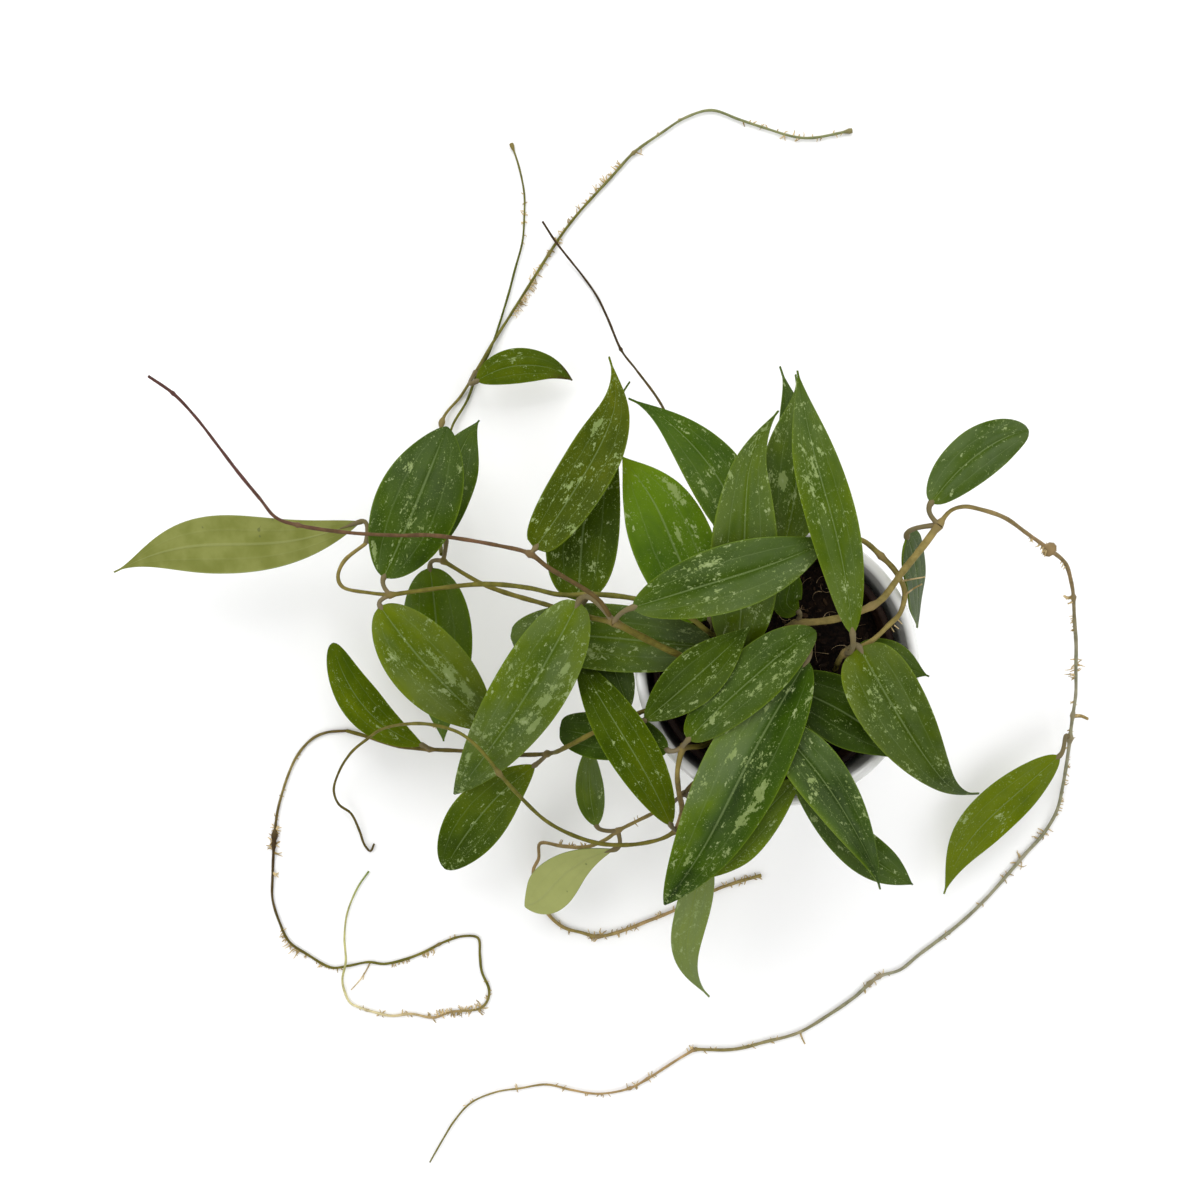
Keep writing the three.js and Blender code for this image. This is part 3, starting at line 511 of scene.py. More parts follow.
# %% Bark chips
CHIP_COUNT = 420
CHIP_SHAPE = (1.0, 0.62, 0.38)
CHIP_REACH = 0.049
LARGE_CHIP_SHARE = 0.12
LARGE_CHIP_SIZE = 2.2


def bark_chip():
    """One chip: a sphere pressed flat and pulled long, with a roughened outline."""
    start_clean()
    bpy.ops.mesh.primitive_ico_sphere_add(subdivisions=2, radius=1.0)
    chip = bpy.context.object
    bpy.ops.object.mode_set(mode="EDIT")
    bpy.ops.mesh.select_all(action="SELECT")
    bpy.ops.transform.resize(value=CHIP_SHAPE)
    bpy.ops.transform.vertex_random(offset=0.22, seed=4)
    bpy.ops.object.mode_set(mode="OBJECT")
    return chip


chance = random.Random(7)
first_chip = bark_chip()
chips = []
for _ in range(CHIP_COUNT):
    turn, reach = chance.uniform(0, 2 * math.pi), CHIP_REACH * math.sqrt(chance.random())
    size = chance.uniform(0.5, 1.25) * MM * (LARGE_CHIP_SIZE if chance.random() < LARGE_CHIP_SHARE else 1.0)
    copy = first_chip.copy()
    copy.data = first_chip.data.copy()
    bpy.context.collection.objects.link(copy)
    height = mound(reach / (edge * MM)) + chance.uniform(0.1, 0.9)
    copy.location = (reach * math.cos(turn), reach * math.sin(turn), height * MM)
    copy.rotation_euler = (chance.uniform(-0.5, 0.5), chance.uniform(-0.5, 0.5), chance.uniform(0, 6.28))
    copy.scale = (size * chance.uniform(0.8, 1.6), size, size)
    chips.append(copy)
bpy.data.objects.remove(first_chip)
bark = joined(chips, "bark_chips")
print("bark", faces_of(bark), "faces")


# %% [markdown]
# Thin strands, such as fibres, stems and roots, are all drawn the same way: a curve with a round bevel, where
# each point has its own radius, turned into a mesh at the end. That is quicker to shape than a mesh tube, and
# the radius makes swellings and tapered ends without extra work.


# %% Strands
FIBRE_COUNT = 90
FIBRE_REACH = 0.046
FIBRE_LIMIT = 0.050
FIBRE_POINTS = 7
FIBRE_RADIUS = 0.17
FIBRE_LIFT = 1.1


def strands(name, lines, sides):
    """One mesh of round strands; a line is a list of (point in metres, radius in millimetres)."""
    curve = bpy.data.curves.new(name, "CURVE")
    curve.dimensions = "3D"
    curve.bevel_depth = MM
    curve.bevel_resolution = sides
    curve.use_fill_caps = True
    for line in lines:
        spline = curve.splines.new("POLY")
        spline.points.add(len(line) - 1)
        for point, (place, radius) in zip(spline.points, line):
            point.co = (*place, 1.0)
            point.radius = radius
    thing = bpy.data.objects.new(name, curve)
    bpy.context.collection.objects.link(thing)
    select_only(thing)
    bpy.ops.object.convert(target="MESH")
    bpy.ops.object.shade_smooth()
    return bpy.context.object


fibre_lines = []
for _ in range(FIBRE_COUNT):
    turn, reach = chance.uniform(0, 2 * math.pi), FIBRE_REACH * math.sqrt(chance.random())
    heading, bend = chance.uniform(0, 2 * math.pi), chance.uniform(-0.5, 0.5)
    here = Vector((reach * math.cos(turn), reach * math.sin(turn), 0))
    line = []
    for i in range(FIBRE_POINTS):
        height = mound(here.xy.length / (edge * MM)) + FIBRE_LIFT + 0.5 * math.sin(i * 1.3)
        line.append(((here.x, here.y, height * MM), FIBRE_RADIUS * (1 - i / (FIBRE_POINTS + 1))))
        here += Vector((math.cos(heading), math.sin(heading), 0)) * chance.uniform(0.8, 1.8) * MM
        heading += bend
        if here.xy.length > FIBRE_LIMIT:
            break
    if len(line) > 2:
        fibre_lines.append(line)
fibres = joined([strands("soil_fibres", fibre_lines, 0)], "soil_fibres")
print("fibres", faces_of(fibres), "faces")

# %% Soil, bark and fibre colours
peat = Paint("dark_peat", IOR=1.4, Specular_IOR_Level=0.15)
where = peat.object_place()
crumb = peat.noise(where, 420.0, 5.0, 0.7)
patch = peat.noise(where, 60.0, 3.0)
peat_brown = peat.mix(crumb.step(0.42, 0.72), (0.0028, 0.0016, 0.0011), (0.018, 0.009, 0.005))
peat.finish(
    Base_Color=peat.mix(patch.step(0.5, 0.75) * 0.5, peat_brown, (0.026, 0.014, 0.008)),
    Roughness=0.8 + patch * 0.15,
    Normal=peat.bump(crumb, 0.8, 0.0012),
)
potting_soil.data.materials.append(peat.material)

chip_paint = Paint("bark_brown", IOR=1.4, Specular_IOR_Level=0.2)
where = chip_paint.object_place()
grain = chip_paint.noise(where, 300.0, 4.0, 0.6)
tone = chip_paint.noise(where, 45.0, 1.0)
chip_paint.finish(
    Base_Color=chip_paint.mix(
        tone.step(0.45, 0.72),
        chip_paint.mix(grain, (0.007, 0.004, 0.0025), (0.026, 0.014, 0.008)),
        (0.055, 0.030, 0.014),
    ),
    Roughness=0.75 + grain * 0.15,
    Normal=chip_paint.bump(grain, 0.5, 0.0006),
)
bark.data.materials.append(chip_paint.material)

straw = Paint("pale_fibre", Roughness=0.7)
tone = straw.noise(straw.object_place(), 80.0, 1.0)
straw.finish(Base_Color=straw.mix(tone.step(0.4, 0.65), (0.12, 0.070, 0.030), (0.45, 0.32, 0.17)))
fibres.data.materials.append(straw.material)
stand_for(potting_soil, "soil")
for loose in (bark, fibres):
    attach(loose, "root")
print("peat", peat.size(), "nodes, bark", chip_paint.size(), "nodes, fibres", straw.size(), "nodes")

# %% [markdown]
# ## The leaves
#
# The leaves are thick, waxy and pointed, with three long veins, a paler margin, and silver-green flecks that
# no two leaves share. Each hangs its own way. The table gives every blade's base and tip in millimetres, its
# greatest width, and how it bows: `arch` upwards and `sweep` to its left; `snake` bows the first half left
# and the second right. `cup` lifts both margins, `drip` draws the tip out thin, `belly` is where it is
# widest, and `taper` narrows both ends. At the end, where they aren't 0, come `curl`, which moves the very
# tip left, `roll`, which turns the blade about its length in degrees, and `lift`, which moves the tip up.

# %% Leaf measures
LEAF_FIELDS = "base tip width arch sweep snake cup drip belly taper curl roll lift"
Leaf = namedtuple("Leaf", LEAF_FIELDS, defaults=(0, 0, 0))
LEAF_ROWS = dict(
    pale_west=((-201.3, 68.8, 55), (-328.4, 43.3, 44), 29.4, 5, -1.6, 4, 0, 0.99, 0.53, 0.73, -0.5, 180),
    round_west=((-184.6, 40.6, 86), (-156.1, 114.4, 70), 40.4, 7, -1.7, -0.1, -0.15, 0.06, 0.46, 0.59, 0.1),
    behind_round=((-158, 59, 58), (-143.4, 121.8, 38), 23.6, 5, 4.4, -0.3, -0.1, 0.56, 0.49, 0.75, -0.3),
    yellow_west=((-186.9, 26.4, 82), (-134.9, -34.8, 56), 36.3, 9, -1.7, -0.2, -0.15, 0.15, 0.44, 0.56, -0.3),
    dark_west=((-166.4, 45.6, 54), (-163.8, -43.6, 30), 34.6, 6, 2.5, 0, -0.1, 0.38, 0.36, 0.69, 1.5),
    small_north=((-145.6, 144.7, 22), (-95.6, 148.6, 16),
        18.5, 3, 6.2, 0.3, 0, 0.18, 0.42, 0.69, -1.8, 0, -5),
    grey_long=((-90.5, 28.8, 142), (-153.8, -68.3, 52), 33.1, 12, 2.8, 0.4, -0.15, 0.09, 0.34, 0.69, -0.7),
    olive_north=((-109.7, 52.6, 137), (-72, 141.9, 98), 24.3, 6, -8, 1, 0.15, 1.2, 0.39, 0.4, 5.2),
    olive_behind=((-90.7, 29.6, 124), (-67.3, 135.1, 80), 33.2, 6, 7, -0.5, 0.1, 0.77, 0.26, 0.81, -0.5),
    bright_north=((-32.5, 21.5, 136.5), (-73.2, 95, 108), 36.1, 6, -3, 1.7, 0.1, 0.64, 0.41, 0.43, -2.5),
    north_tip=((-15.7, 53.6, 138), (-66.1, 125.1, 100), 26.2, 6, -7.6, -0.5, 0.1, 0.61, 0.3, 0.86, 1.8),
    top=((-66.8, 26.5, 156), (19, 55.7, 154), 28.3, 7, -1.3, 0.4, -0.15, 0.41, 0.47, 0.59, 0.6),
    upright=((-19.8, 8.2, 134), (-12.1, 112.9, 144), 29.9, 12, 2.6, -0.8, 0.15, 0.57, 0.33, 0.59, -9),
    crest_back=((5, 69, 133), (1, 136, 118), 15, 4, -3, 0, 0.1, 1.2, 0.4, 0.7),
    crest_wide=((0, 54, 141), (7, 131, 126), 31, 6, -3, 0, 0.1, 1.2, 0.4, 0.7),
    crest_front=((27.1, 15.5, 156), (6.1, 130.1, 142), 21.4, 16, 2.3, -1.4, -0.1, 0.67, 0.46, 0.64, 0.7),
    small_inner=((7, 24.5, 131), (-1, 43.9, 138), 13.3, 2, 1.2, 2.4, 0, 0.35, 0.39, 0.62),
    hanging_east=((53.3, 57.1, 143), (73, 16.3, 76), 22.5, 3, 0.8, 0.4, 0, 0.51, 0.28, 0.74, 0.1, 42),
    raised_east=((60.9, 71.4, 156), (104.3, 103.7, 148), 21.9, 6, 4.9, 0.1, -0.1, 0, 0.48, 0.47, -0.8),
    far_east=((160.5, -52.8, 20), (102, -126.7, 12), 24.3, 5, -8.8, 1.6, -0.1, 0.73, 0.46, 0.62),
    east=((33, 8.5, 141), (95.3, -66.3, 88), 32, 16, -7.1, 0.3, -0.15, 0.71, 0.2, 0.86, 5.7),
    east_under=((34, 8, 127), (68, -5, 121), 18, 3, 0, 0, 0, 0.8, 0.4, 0.7),
    dark_inner=((-5, -7, 117), (58, -44, 122), 30, 5, 5, 0, 0, 0.6, 0.5, 0.7),
    glossy_centre=((-60.8, -24.4, 126), (-16, 18, 148), 23, 7, 0, 0, -0.12, 0.4, 0.5, 0.7),
    centre=((-41.5, -32.5, 131), (11, 18.1, 143), 25.1, 8, 1.6, 0.3, -0.12, 0.14, 0.54, 0.36, -3.4),
    blunt_dark=((-50.7, -38.2, 124), (-99.9, -30.6, 84), 22.9, 3, -0.8, -1.7, 0, -0.13, 0.51, 0.43, 1.6),
    slim_south=((-48.2, -75, 104), (-92.4, 2.8, 101), 22.5, 27, -2.2, -0.5, 0, 0.16, 0.49, 0.64),
    tucked_west=((-67.6, -20.3, 113.3), (-83.4, 14.3, 105.2), 16.4, 2, -1.1, 0.4, 0, 0.4, 0.47, 0.76, -0.1),
    cross_west=((-30.3, 7.9, 124), (-122.7, 12.7, 100), 30.7, 6, -2.2, 0.4, -0.1, -0.06, 0.49, 0.42, 0.5),
    notched_south=((-113.6, -52.5, 62), (-160.7, -107.5, 40), 29.1, 6, -4, -0.5, -0.1, -0.1, 0.54, 0.62, 0.8),
    bright_west=((-174.1, -46.2, 25), (-220, 7.1, 30), 20.9, 5, 8.6, 0.3, -0.1, -0.2, 0.51, 0.7, -0.2),
    largest=((10.2, 3, 138), (-51.6, -116.1, 82), 36.2, 20, -0.7, -1.6, -0.15, 0.05, 0.38, 0.71, 1.9),
    small_south=((-83, -85, 44), (-86.5, -43.9, 66), 14.3, 3, 1.5, 0, 0, -0.11, 0.48, 0.63),
    pale_south=((-73.4, -98, 40), (-116.8, -135.4, 22), 24.3, 5, -6.7, -0.7, 0, 0.09, 0.64, 0.64, -5.4, 180),
    wavy_south=((-34.4, -76, 92), (-23.2, -176.2, 30), 17.3, 6, -8.7, 4.4, 0.1, 0.76, 0.43, 0.72, -1.3),
    bright_south=((9, -50, 124), (-34, -105, 86), 22, 9, -2, 0, 0, 0.6, 0.5, 0.7),
    dark_south=((-0.3, -28.5, 128), (50.1, -103.1, 108), 23.8, 12, 2.9, 0.6, 0.1, 0.36, 0.25, 0.82, -1.8),
    south_behind=((3.5, -45.9, 127), (67.7, -104.7, 92), 19, 8, -5.5, -0.4, 0, 0.52, 0.59, 0.54, -0.8),
)
LEAVES = {name: Leaf(*row) for name, row in LEAF_ROWS.items()}
print(len(LEAVES), "leaves")

# %% [markdown]
# Every leaf also has its own colour. The first number runs from a deep green at 0, through grass green, to a
# light yellow-green at 1 and paler ones above it. The second says how thickly it is flecked, and the third
# how much painted sheen, a paler grey-green standing in for the soft reflection of the lights, lies over the
# green; it also sets the clear coat. A few leaves have larger silver patches, each at a place across (-1 to
# 1) and along (0 to 1) the blade with a size as a share of its width.

# %% Leaf looks
LOOKS = dict(
    pale_west=(0.4, 0.4, 0.4), round_west=(0.3, 0.55, 0.4), behind_round=(0.4, 0.4, 0.35),
    yellow_west=(0.87, 0.8, 0.55), dark_west=(0.98, 0.4, 0.6), small_north=(0.56, 0.5, 0.1),
    grey_long=(0.85, 0.9, 0.8), olive_north=(0.41, 0.9, 0.1), olive_behind=(0.3, 0.65, 0.05),
    bright_north=(0.66, 0.55, 0.1), north_tip=(0.53, 0.6, 0.2), top=(0.36, 0.6, 0.7),
    upright=(0.7, 0.75, 0.6), crest_back=(0.45, 0.4, 0.3), crest_wide=(0.62, 0.85, 0.5),
    crest_front=(0.58, 0.8, 0.5), small_inner=(0.45, 0.35, 0.2), hanging_east=(0.3, 0.3, 0.3),
    raised_east=(0.48, 0.6, 0.95), far_east=(1.08, 0.5, 0.3), east=(0.42, 0.75, 0.5),
    east_under=(0.5, 0.3, 0.4), dark_inner=(0.15, 0.25, 0.3), glossy_centre=(0.3, 0.65, 0.25),
    centre=(0.42, 0.75, 0.4), blunt_dark=(0.2, 0.3, 0.2), slim_south=(0.34, 0.6, 0),
    tucked_west=(0.45, 0.3, 0.6), cross_west=(0.6, 0.85, 1), notched_south=(0.43, 0.6, 0.15),
    bright_west=(0.74, 0.3, 0), largest=(0.7, 0.65, 0.75), small_south=(0.8, 0.45, 0.8),
    pale_south=(0.4, 0.3, 0.3), wavy_south=(1.55, 1, 0.8), bright_south=(0.7, 0.7, 0.2),
    dark_south=(0.14, 0.7, 0.75), south_behind=(0.4, 0.6, 0.5),
)
PATCHES = dict(
    largest=[(-0.62, 0.46, 0.13), (-0.55, 0.52, 0.1), (0.45, 0.33, 0.07), (0.3, 0.74, 0.07)],
    bright_north=[(0.72, 0.7, 0.13), (0.2, 0.45, 0.06)],
    olive_north=[(-0.5, 0.62, 0.08)],
    yellow_west=[(-0.35, 0.5, 0.11), (-0.4, 0.68, 0.09)],
    grey_long=[(-0.6, 0.2, 0.08), (-0.5, 0.35, 0.1), (-0.65, 0.45, 0.08), (0.6, 0.75, 0.08)],
    round_west=[(-0.75, 0.08, 0.1)],
    crest_wide=[(-0.4, 0.35, 0.1), (0.2, 0.6, 0.08)],
)
print(len(LOOKS), "leaf colours,", len(PATCHES), "leaves with large patches")

# %% [markdown]
# Some leaves change their green over their length or to one side. A row of `SHADES` adds to the colour number
# at the base, at the tip, at the left margin, at the right margin, and along the midrib. `AGED` says how much
# a leaf turns from green to olive (below 0, to a fresher green), how brown its tip has dried, and how pale it
# is. `SHINING` is painted light and shade: how much lighter, with more painted sheen, a leaf is right of its
# midrib than left of it, where it is darker as painted shade, and how far that and its painted sheen fade
# towards the tip.

# %% Changes of green
SHADES = dict(
    # On largest the darker tip and midrib are painted shade.
    bright_north=(-0.1, 1.5, 0, 0, 0), largest=(-0.3, -0.4, 0.1, 0.3, -0.45),
    slim_south=(0.5, -0.1, 0, 0, 0.1), bright_south=(0, 0.1, 0.45, 0.3, -0.1),
    yellow_west=(0.15, 0.1, 0.25, 0.2, -0.2), grey_long=(0, -0.35, 0.15, 0.15, -0.1),
    east=(0.1, -0.2, 0, 0.3, -0.1), olive_north=(-0.15, 0.3, 0.05, 0.05, 0.05),
    far_east=(-0.1, 0.2, 0.1, 0.1, 0), centre=(0, -0.1, 0, 0.15, -0.1), top=(0, 0.15, 0.05, 0.15, -0.15),
    dark_south=(-0.1, 0, 0.1, 1.1, -0.05), notched_south=(0.6, -0.15, 0, 0.1, -0.1),
    crest_front=(0.15, 0, 0.1, 0.1, -0.1),
)
AGED = dict(
    olive_north=(1, 0.15, 0), olive_behind=(0.4, 0, 0), small_north=(0.45, 0.9, 0), yellow_west=(0.3, 0, 0),
    east=(0.35, 0, 0), far_east=(0.3, 0.1, 0), slim_south=(0.5, 0, 0), wavy_south=(0.1, 0, 0.35),
    pale_south=(0, 0, 0.5), bright_west=(0.3, 0, 0), glossy_centre=(0.3, 0, 0), bright_north=(-1, 0, 0),
    north_tip=(-0.6, 0, 0), notched_south=(0.4, 0, 0), dark_west=(-0.6, 0, 0), largest=(-0.5, 0, 0),
    dark_south=(-0.3, 0, 0),
)
SHINING = dict(
    largest=(0.8, 0.9), dark_south=(-0.3, 0), top=(0.3, 0), grey_long=(0, 0.5),
)
print(len(SHADES), "leaves change their green,", len(AGED), "have aged or freshened")

# %% [markdown]
# ### One flat sheet for all of them
#
# A leaf could be cut from a grid by hand, and then bent along a curve by a modifier. But each blade here must
# follow its own solid exactly, so one flat grid is made once and copied, and each copy's points are moved by
# the sums that shape the solid. The columns give the three veins and the swell between them; the rows lie
# closer together towards the base and the tip, where the outline turns most. A Solidify modifier then gives
# the sheet its thickness, and puts the underside in a second material.

# %% The flat sheet
BLADE_ROWS = 52
BLADE_COLUMNS = 28

start_clean()
bpy.ops.mesh.primitive_grid_add(x_subdivisions=BLADE_COLUMNS, y_subdivisions=BLADE_ROWS, size=2.0)
flat_sheet = settle(bpy.context.object, "flat_sheet")
flat_points = np.empty(len(flat_sheet.data.vertices) * 3)
flat_sheet.data.vertices.foreach_get("co", flat_points)
ACROSS = flat_points.reshape(-1, 3)[:, 0]
EVEN = (flat_points.reshape(-1, 3)[:, 1] + 1) / 2
ALONG = (EVEN + (1 - np.cos(np.pi * EVEN)) / 2) / 2
print("sheet", len(ACROSS), "points")


# %% Where the middle line of a blade runs
UP = np.array((0.0, 0.0, 1.0))
TIP_STARTS = 0.7
SMALL_STEP = 1e-3


def unit(vector):
    return vector / np.linalg.norm(vector, axis=-1, keepdims=True)


class Midrib:
    """The line along the middle of a blade, in metres."""

    def __init__(self, leaf):
        self.base = np.array(leaf.base) * MM
        self.tip = np.array(leaf.tip) * MM
        chord = self.tip - self.base
        self.left = -unit(np.cross(chord, UP))
        self.rise = unit(np.cross(chord, self.left))
        self.length = np.linalg.norm(chord)
        bows = (leaf.arch, leaf.sweep, leaf.snake, leaf.curl, leaf.lift)
        self.arch, self.sweep, self.snake, self.curl, self.lift = (bow * MM for bow in bows)

    def at(self, t):
        t = np.asarray(t)[..., None]
        bulge = 4 * t * (1 - t)
        late = np.maximum(0, (t - TIP_STARTS) / (1 - TIP_STARTS)) ** 2
        aside = self.sweep * bulge + self.snake * np.sin(2 * np.pi * t) + self.curl * late
        lifted = self.arch * bulge + self.lift * late
        return self.base + (self.tip - self.base) * t + self.left * aside + self.rise * lifted

    def tangent(self, t):
        return unit(self.at(np.minimum(t + SMALL_STEP, 1)) - self.at(np.maximum(t - SMALL_STEP, 0)))


lengths = {name: Midrib(leaf).length for name, leaf in LEAVES.items()}
longest = max(lengths, key=lengths.get)
print("longest blade", longest, round(lengths[longest], 3), "m")


# %% Bending the sheet into a blade
SIDE_VEIN = 0.5
VEIN_WIDTH = 0.05
MIDRIB_DEPTH = 0.13
SIDE_VEIN_DEPTH = 0.04
INNER_SWELL = 0.10
OUTER_SWELL = 0.05
RIPPLE_HEIGHT = 0.40
FULL_RELIEF_FROM = 9
BASE_HALF_WIDTH = 0.9
TIP_HALF_WIDTH = 0.4


def half_width(leaf):
    """Half the width at each point of the sheet, in metres."""
    bent = np.clip(ALONG, 1e-6, 1 - 1e-6) ** (math.log(0.5) / math.log(leaf.belly))
    shape = np.sin(np.pi * bent) ** (leaf.taper + leaf.drip * ALONG * ALONG)
    least = BASE_HALF_WIDTH + (TIP_HALF_WIDTH - BASE_HALF_WIDTH) * ALONG
    return np.maximum(least, leaf.width / 2 * shape) * MM


def relief(half, number):
    """How far the blade's surface stands off its even form: veins sink in, the parts between them swell."""
    edge = np.abs(ACROSS)
    body = np.sin(np.pi * np.clip(ALONG, 0, 1)) ** 0.5
    middle = MIDRIB_DEPTH * np.exp(-((edge / VEIN_WIDTH) ** 2))
    aside = SIDE_VEIN_DEPTH * np.exp(-(((edge - SIDE_VEIN) / VEIN_WIDTH) ** 2))
    inner = INNER_SWELL * np.sin(np.pi * np.minimum(edge / SIDE_VEIN, 1))
    outer = OUTER_SWELL * np.sin(np.pi * np.clip((edge - SIDE_VEIN) / (1 - SIDE_VEIN), 0, 1))
    turns, phase = 1.6 + 0.35 * (number % 4), 0.9 * number
    ripple = RIPPLE_HEIGHT * edge ** 3 * np.sin(2 * np.pi * turns * ALONG + phase + 1.3 * np.sign(ACROSS))
    height = inner + outer - middle - aside + ripple
    return height * body * MM * np.minimum(1, half / (FULL_RELIEF_FROM * MM))


def bent_points(leaf, number):
    midrib = Midrib(leaf)
    half = half_width(leaf)
    tangent = midrib.tangent(ALONG)
    across = unit(np.cross(tangent, midrib.rise))
    roll = math.radians(leaf.roll)
    out = np.cross(across, tangent)
    across, out = (
        across * math.cos(roll) + out * math.sin(roll),
        out * math.cos(roll) - across * math.sin(roll),
    )
    lift = leaf.cup * half * ACROSS ** 2 + relief(half, number)
    points = midrib.at(ALONG) + across * (ACROSS * half)[:, None] + out * lift[:, None]
    return points, half, midrib.length


widest = max(LEAVES, key=lambda name: LEAVES[name].width)
print("widest blade", widest, round(2 * half_width(LEAVES[widest]).max(), 4), "m")


# %% Fields of colour over a blade
PATCH_LENGTH = 3.5


def patch_field(name):
    """1 in the middle of each large silver patch, falling to 0 past its size."""
    field = np.zeros_like(ALONG)
    for x, y, size in PATCHES.get(name, []):
        slender = LEAVES[name].width / 2 * MM / lengths[name]
        away = np.sqrt((ACROSS - x) ** 2 + ((ALONG - y) / (PATCH_LENGTH * slender)) ** 2)
        field = np.maximum(field, np.clip(1 - away / (2 * size), 0, 1))
    return field


def kept_to_tip(name):
    """1 over the first half of a blade, falling towards the tip by what the leaf's painted sheen fades there.
    """
    _, fade = SHINING.get(name, (0, 0))
    return 1 - fade * np.clip(ALONG * 4 - 2, 0, 1)


# Painted light and shade: a blade lighter on one side of its midrib and darker on the other.
def uneven_shine(name):
    side, _ = SHINING.get(name, (0, 0))
    return side * np.tanh(4 * ACROSS) * kept_to_tip(name)


def green_field(name, hue):
    base, tip, left, right, middle = SHADES.get(name, (0, 0, 0, 0, 0))
    field = hue + base * (1 - ALONG) ** 3 + tip * ALONG ** 3 + middle * np.exp(-((ACROSS / 0.3) ** 2))
    # One side of the midrib lighter and the other darker is painted light and shade.
    field = field + 0.4 * uneven_shine(name)
    return field + left * np.maximum(-ACROSS, 0) ** 4 + right * np.maximum(ACROSS, 0) ** 4


greens = green_field(longest, LOOKS[longest][0])
print("green of", longest, "from", round(greens.min(), 2), "to", round(greens.max(), 2))


# %% [markdown]
# Numbers stored at each point carry a blade's own coordinates into its material: `vein` holds the place
# across and along the blade and the large patches, `place` holds real distances in metres with a third number
# that gives each leaf its own flecks, `look` holds its colour, flecks and painted sheen, and `age` how olive,
# how dry and how pale it is. They ride on the mesh, so the pattern follows every bend.


# %% Making a blade
BLADE_THICKNESS = 0.9
BLADE_EDGE = math.radians(60)
FLECK_STRIDE = 0.37


def store(mesh, name, columns):
    layer = mesh.attributes.new(name, "FLOAT_VECTOR", "POINT")
    layer.data.foreach_set("vector", np.column_stack(columns).astype(np.float32).ravel())


def blade(name, number, materials):
    piece = flat_sheet.copy()
    piece.data = flat_sheet.data.copy()
    piece.name = piece.data.name = "blade_" + name
    bpy.context.collection.objects.link(piece)
    points, half, length = bent_points(LEAVES[name], number)
    piece.data.vertices.foreach_set("co", points.ravel())
    same = np.ones_like(ALONG)
    hue, flecks, coat_and_painted_sheen = LOOKS[name]
    olive, dried, pale = AGED.get(name, (0, 0, 0))
    dry = dried * ALONG ** 4 * (0.5 + 0.5 * ACROSS ** 2)
    # The painted sheen, a paler grey-green that stands in for the soft reflection of the lights.
    painted_sheen = coat_and_painted_sheen * (1 + uneven_shine(name)) * kept_to_tip(name)
    store(piece.data, "vein", (ACROSS, ALONG, patch_field(name)))
    store(piece.data, "place", (ACROSS * half, ALONG * length, same * FLECK_STRIDE * (number + 1)))
    store(piece.data, "age", (same * olive, dry, same * pale))
    store(piece.data, "look", (green_field(name, hue), same * flecks, painted_sheen))
    for material in materials:
        piece.data.materials.append(material)
    piece.data.update()
    select_only(piece)
    wall = piece.modifiers.new("thickness", "SOLIDIFY")
    wall.thickness = BLADE_THICKNESS * MM
    wall.offset = 0.0
    wall.material_offset = 1
    bpy.ops.object.modifier_apply(modifier="thickness")
    bpy.ops.object.shade_smooth_by_angle(angle=BLADE_EDGE)
    stand_for(piece, "leaf_" + name)
    return piece


print("blades", BLADE_THICKNESS, "mm thick")


# %% [markdown]
# ### The finish of a leaf
#
# The green comes first, from the leaf's own colour and a slow change over the blade, yellower at the base and
# the margin. A painted sheen, a paler grey-green in soft bands between the veins, stands in for the soft
# reflection of the lights. Then the veins: a thin pale line down the middle, two fainter ones half way to the
# margins, and very faint ones that branch between them. Last the flecks: noise that is stretched along the
# leaf and cut off sharply leaves irregular islands, which is how the real flecks look. Large ones come in
# groups, small ones are strewn everywhere.


# %% Leaf top
GREENS = {
    "deep": (0.009, 0.021, 0.0008),
    "grass": (0.033, 0.064, 0.0012),
    "light": (0.094, 0.138, 0.0018),
    "young": (0.180, 0.225, 0.012),
    # The next green is painted sheen, a paler grey-green that stands in for reflected light.
    "painted_sheen_green": (0.085, 0.122, 0.046),
    "pallid": (0.195, 0.250, 0.105),
    "vein": (0.150, 0.205, 0.072),
    "margin": (0.120, 0.185, 0.012),
    "dull fleck": (0.190, 0.250, 0.080),
    "bright fleck": (0.330, 0.385, 0.195),
}
DRY_BROWN = (0.055, 0.035, 0.010)
TOWARDS_OLIVE = (1.28, 0.98, 0.6)
TOWARDS_FRESH = (0.84, 1.04, 0.8)
SIDE_BRANCHES = 9.0


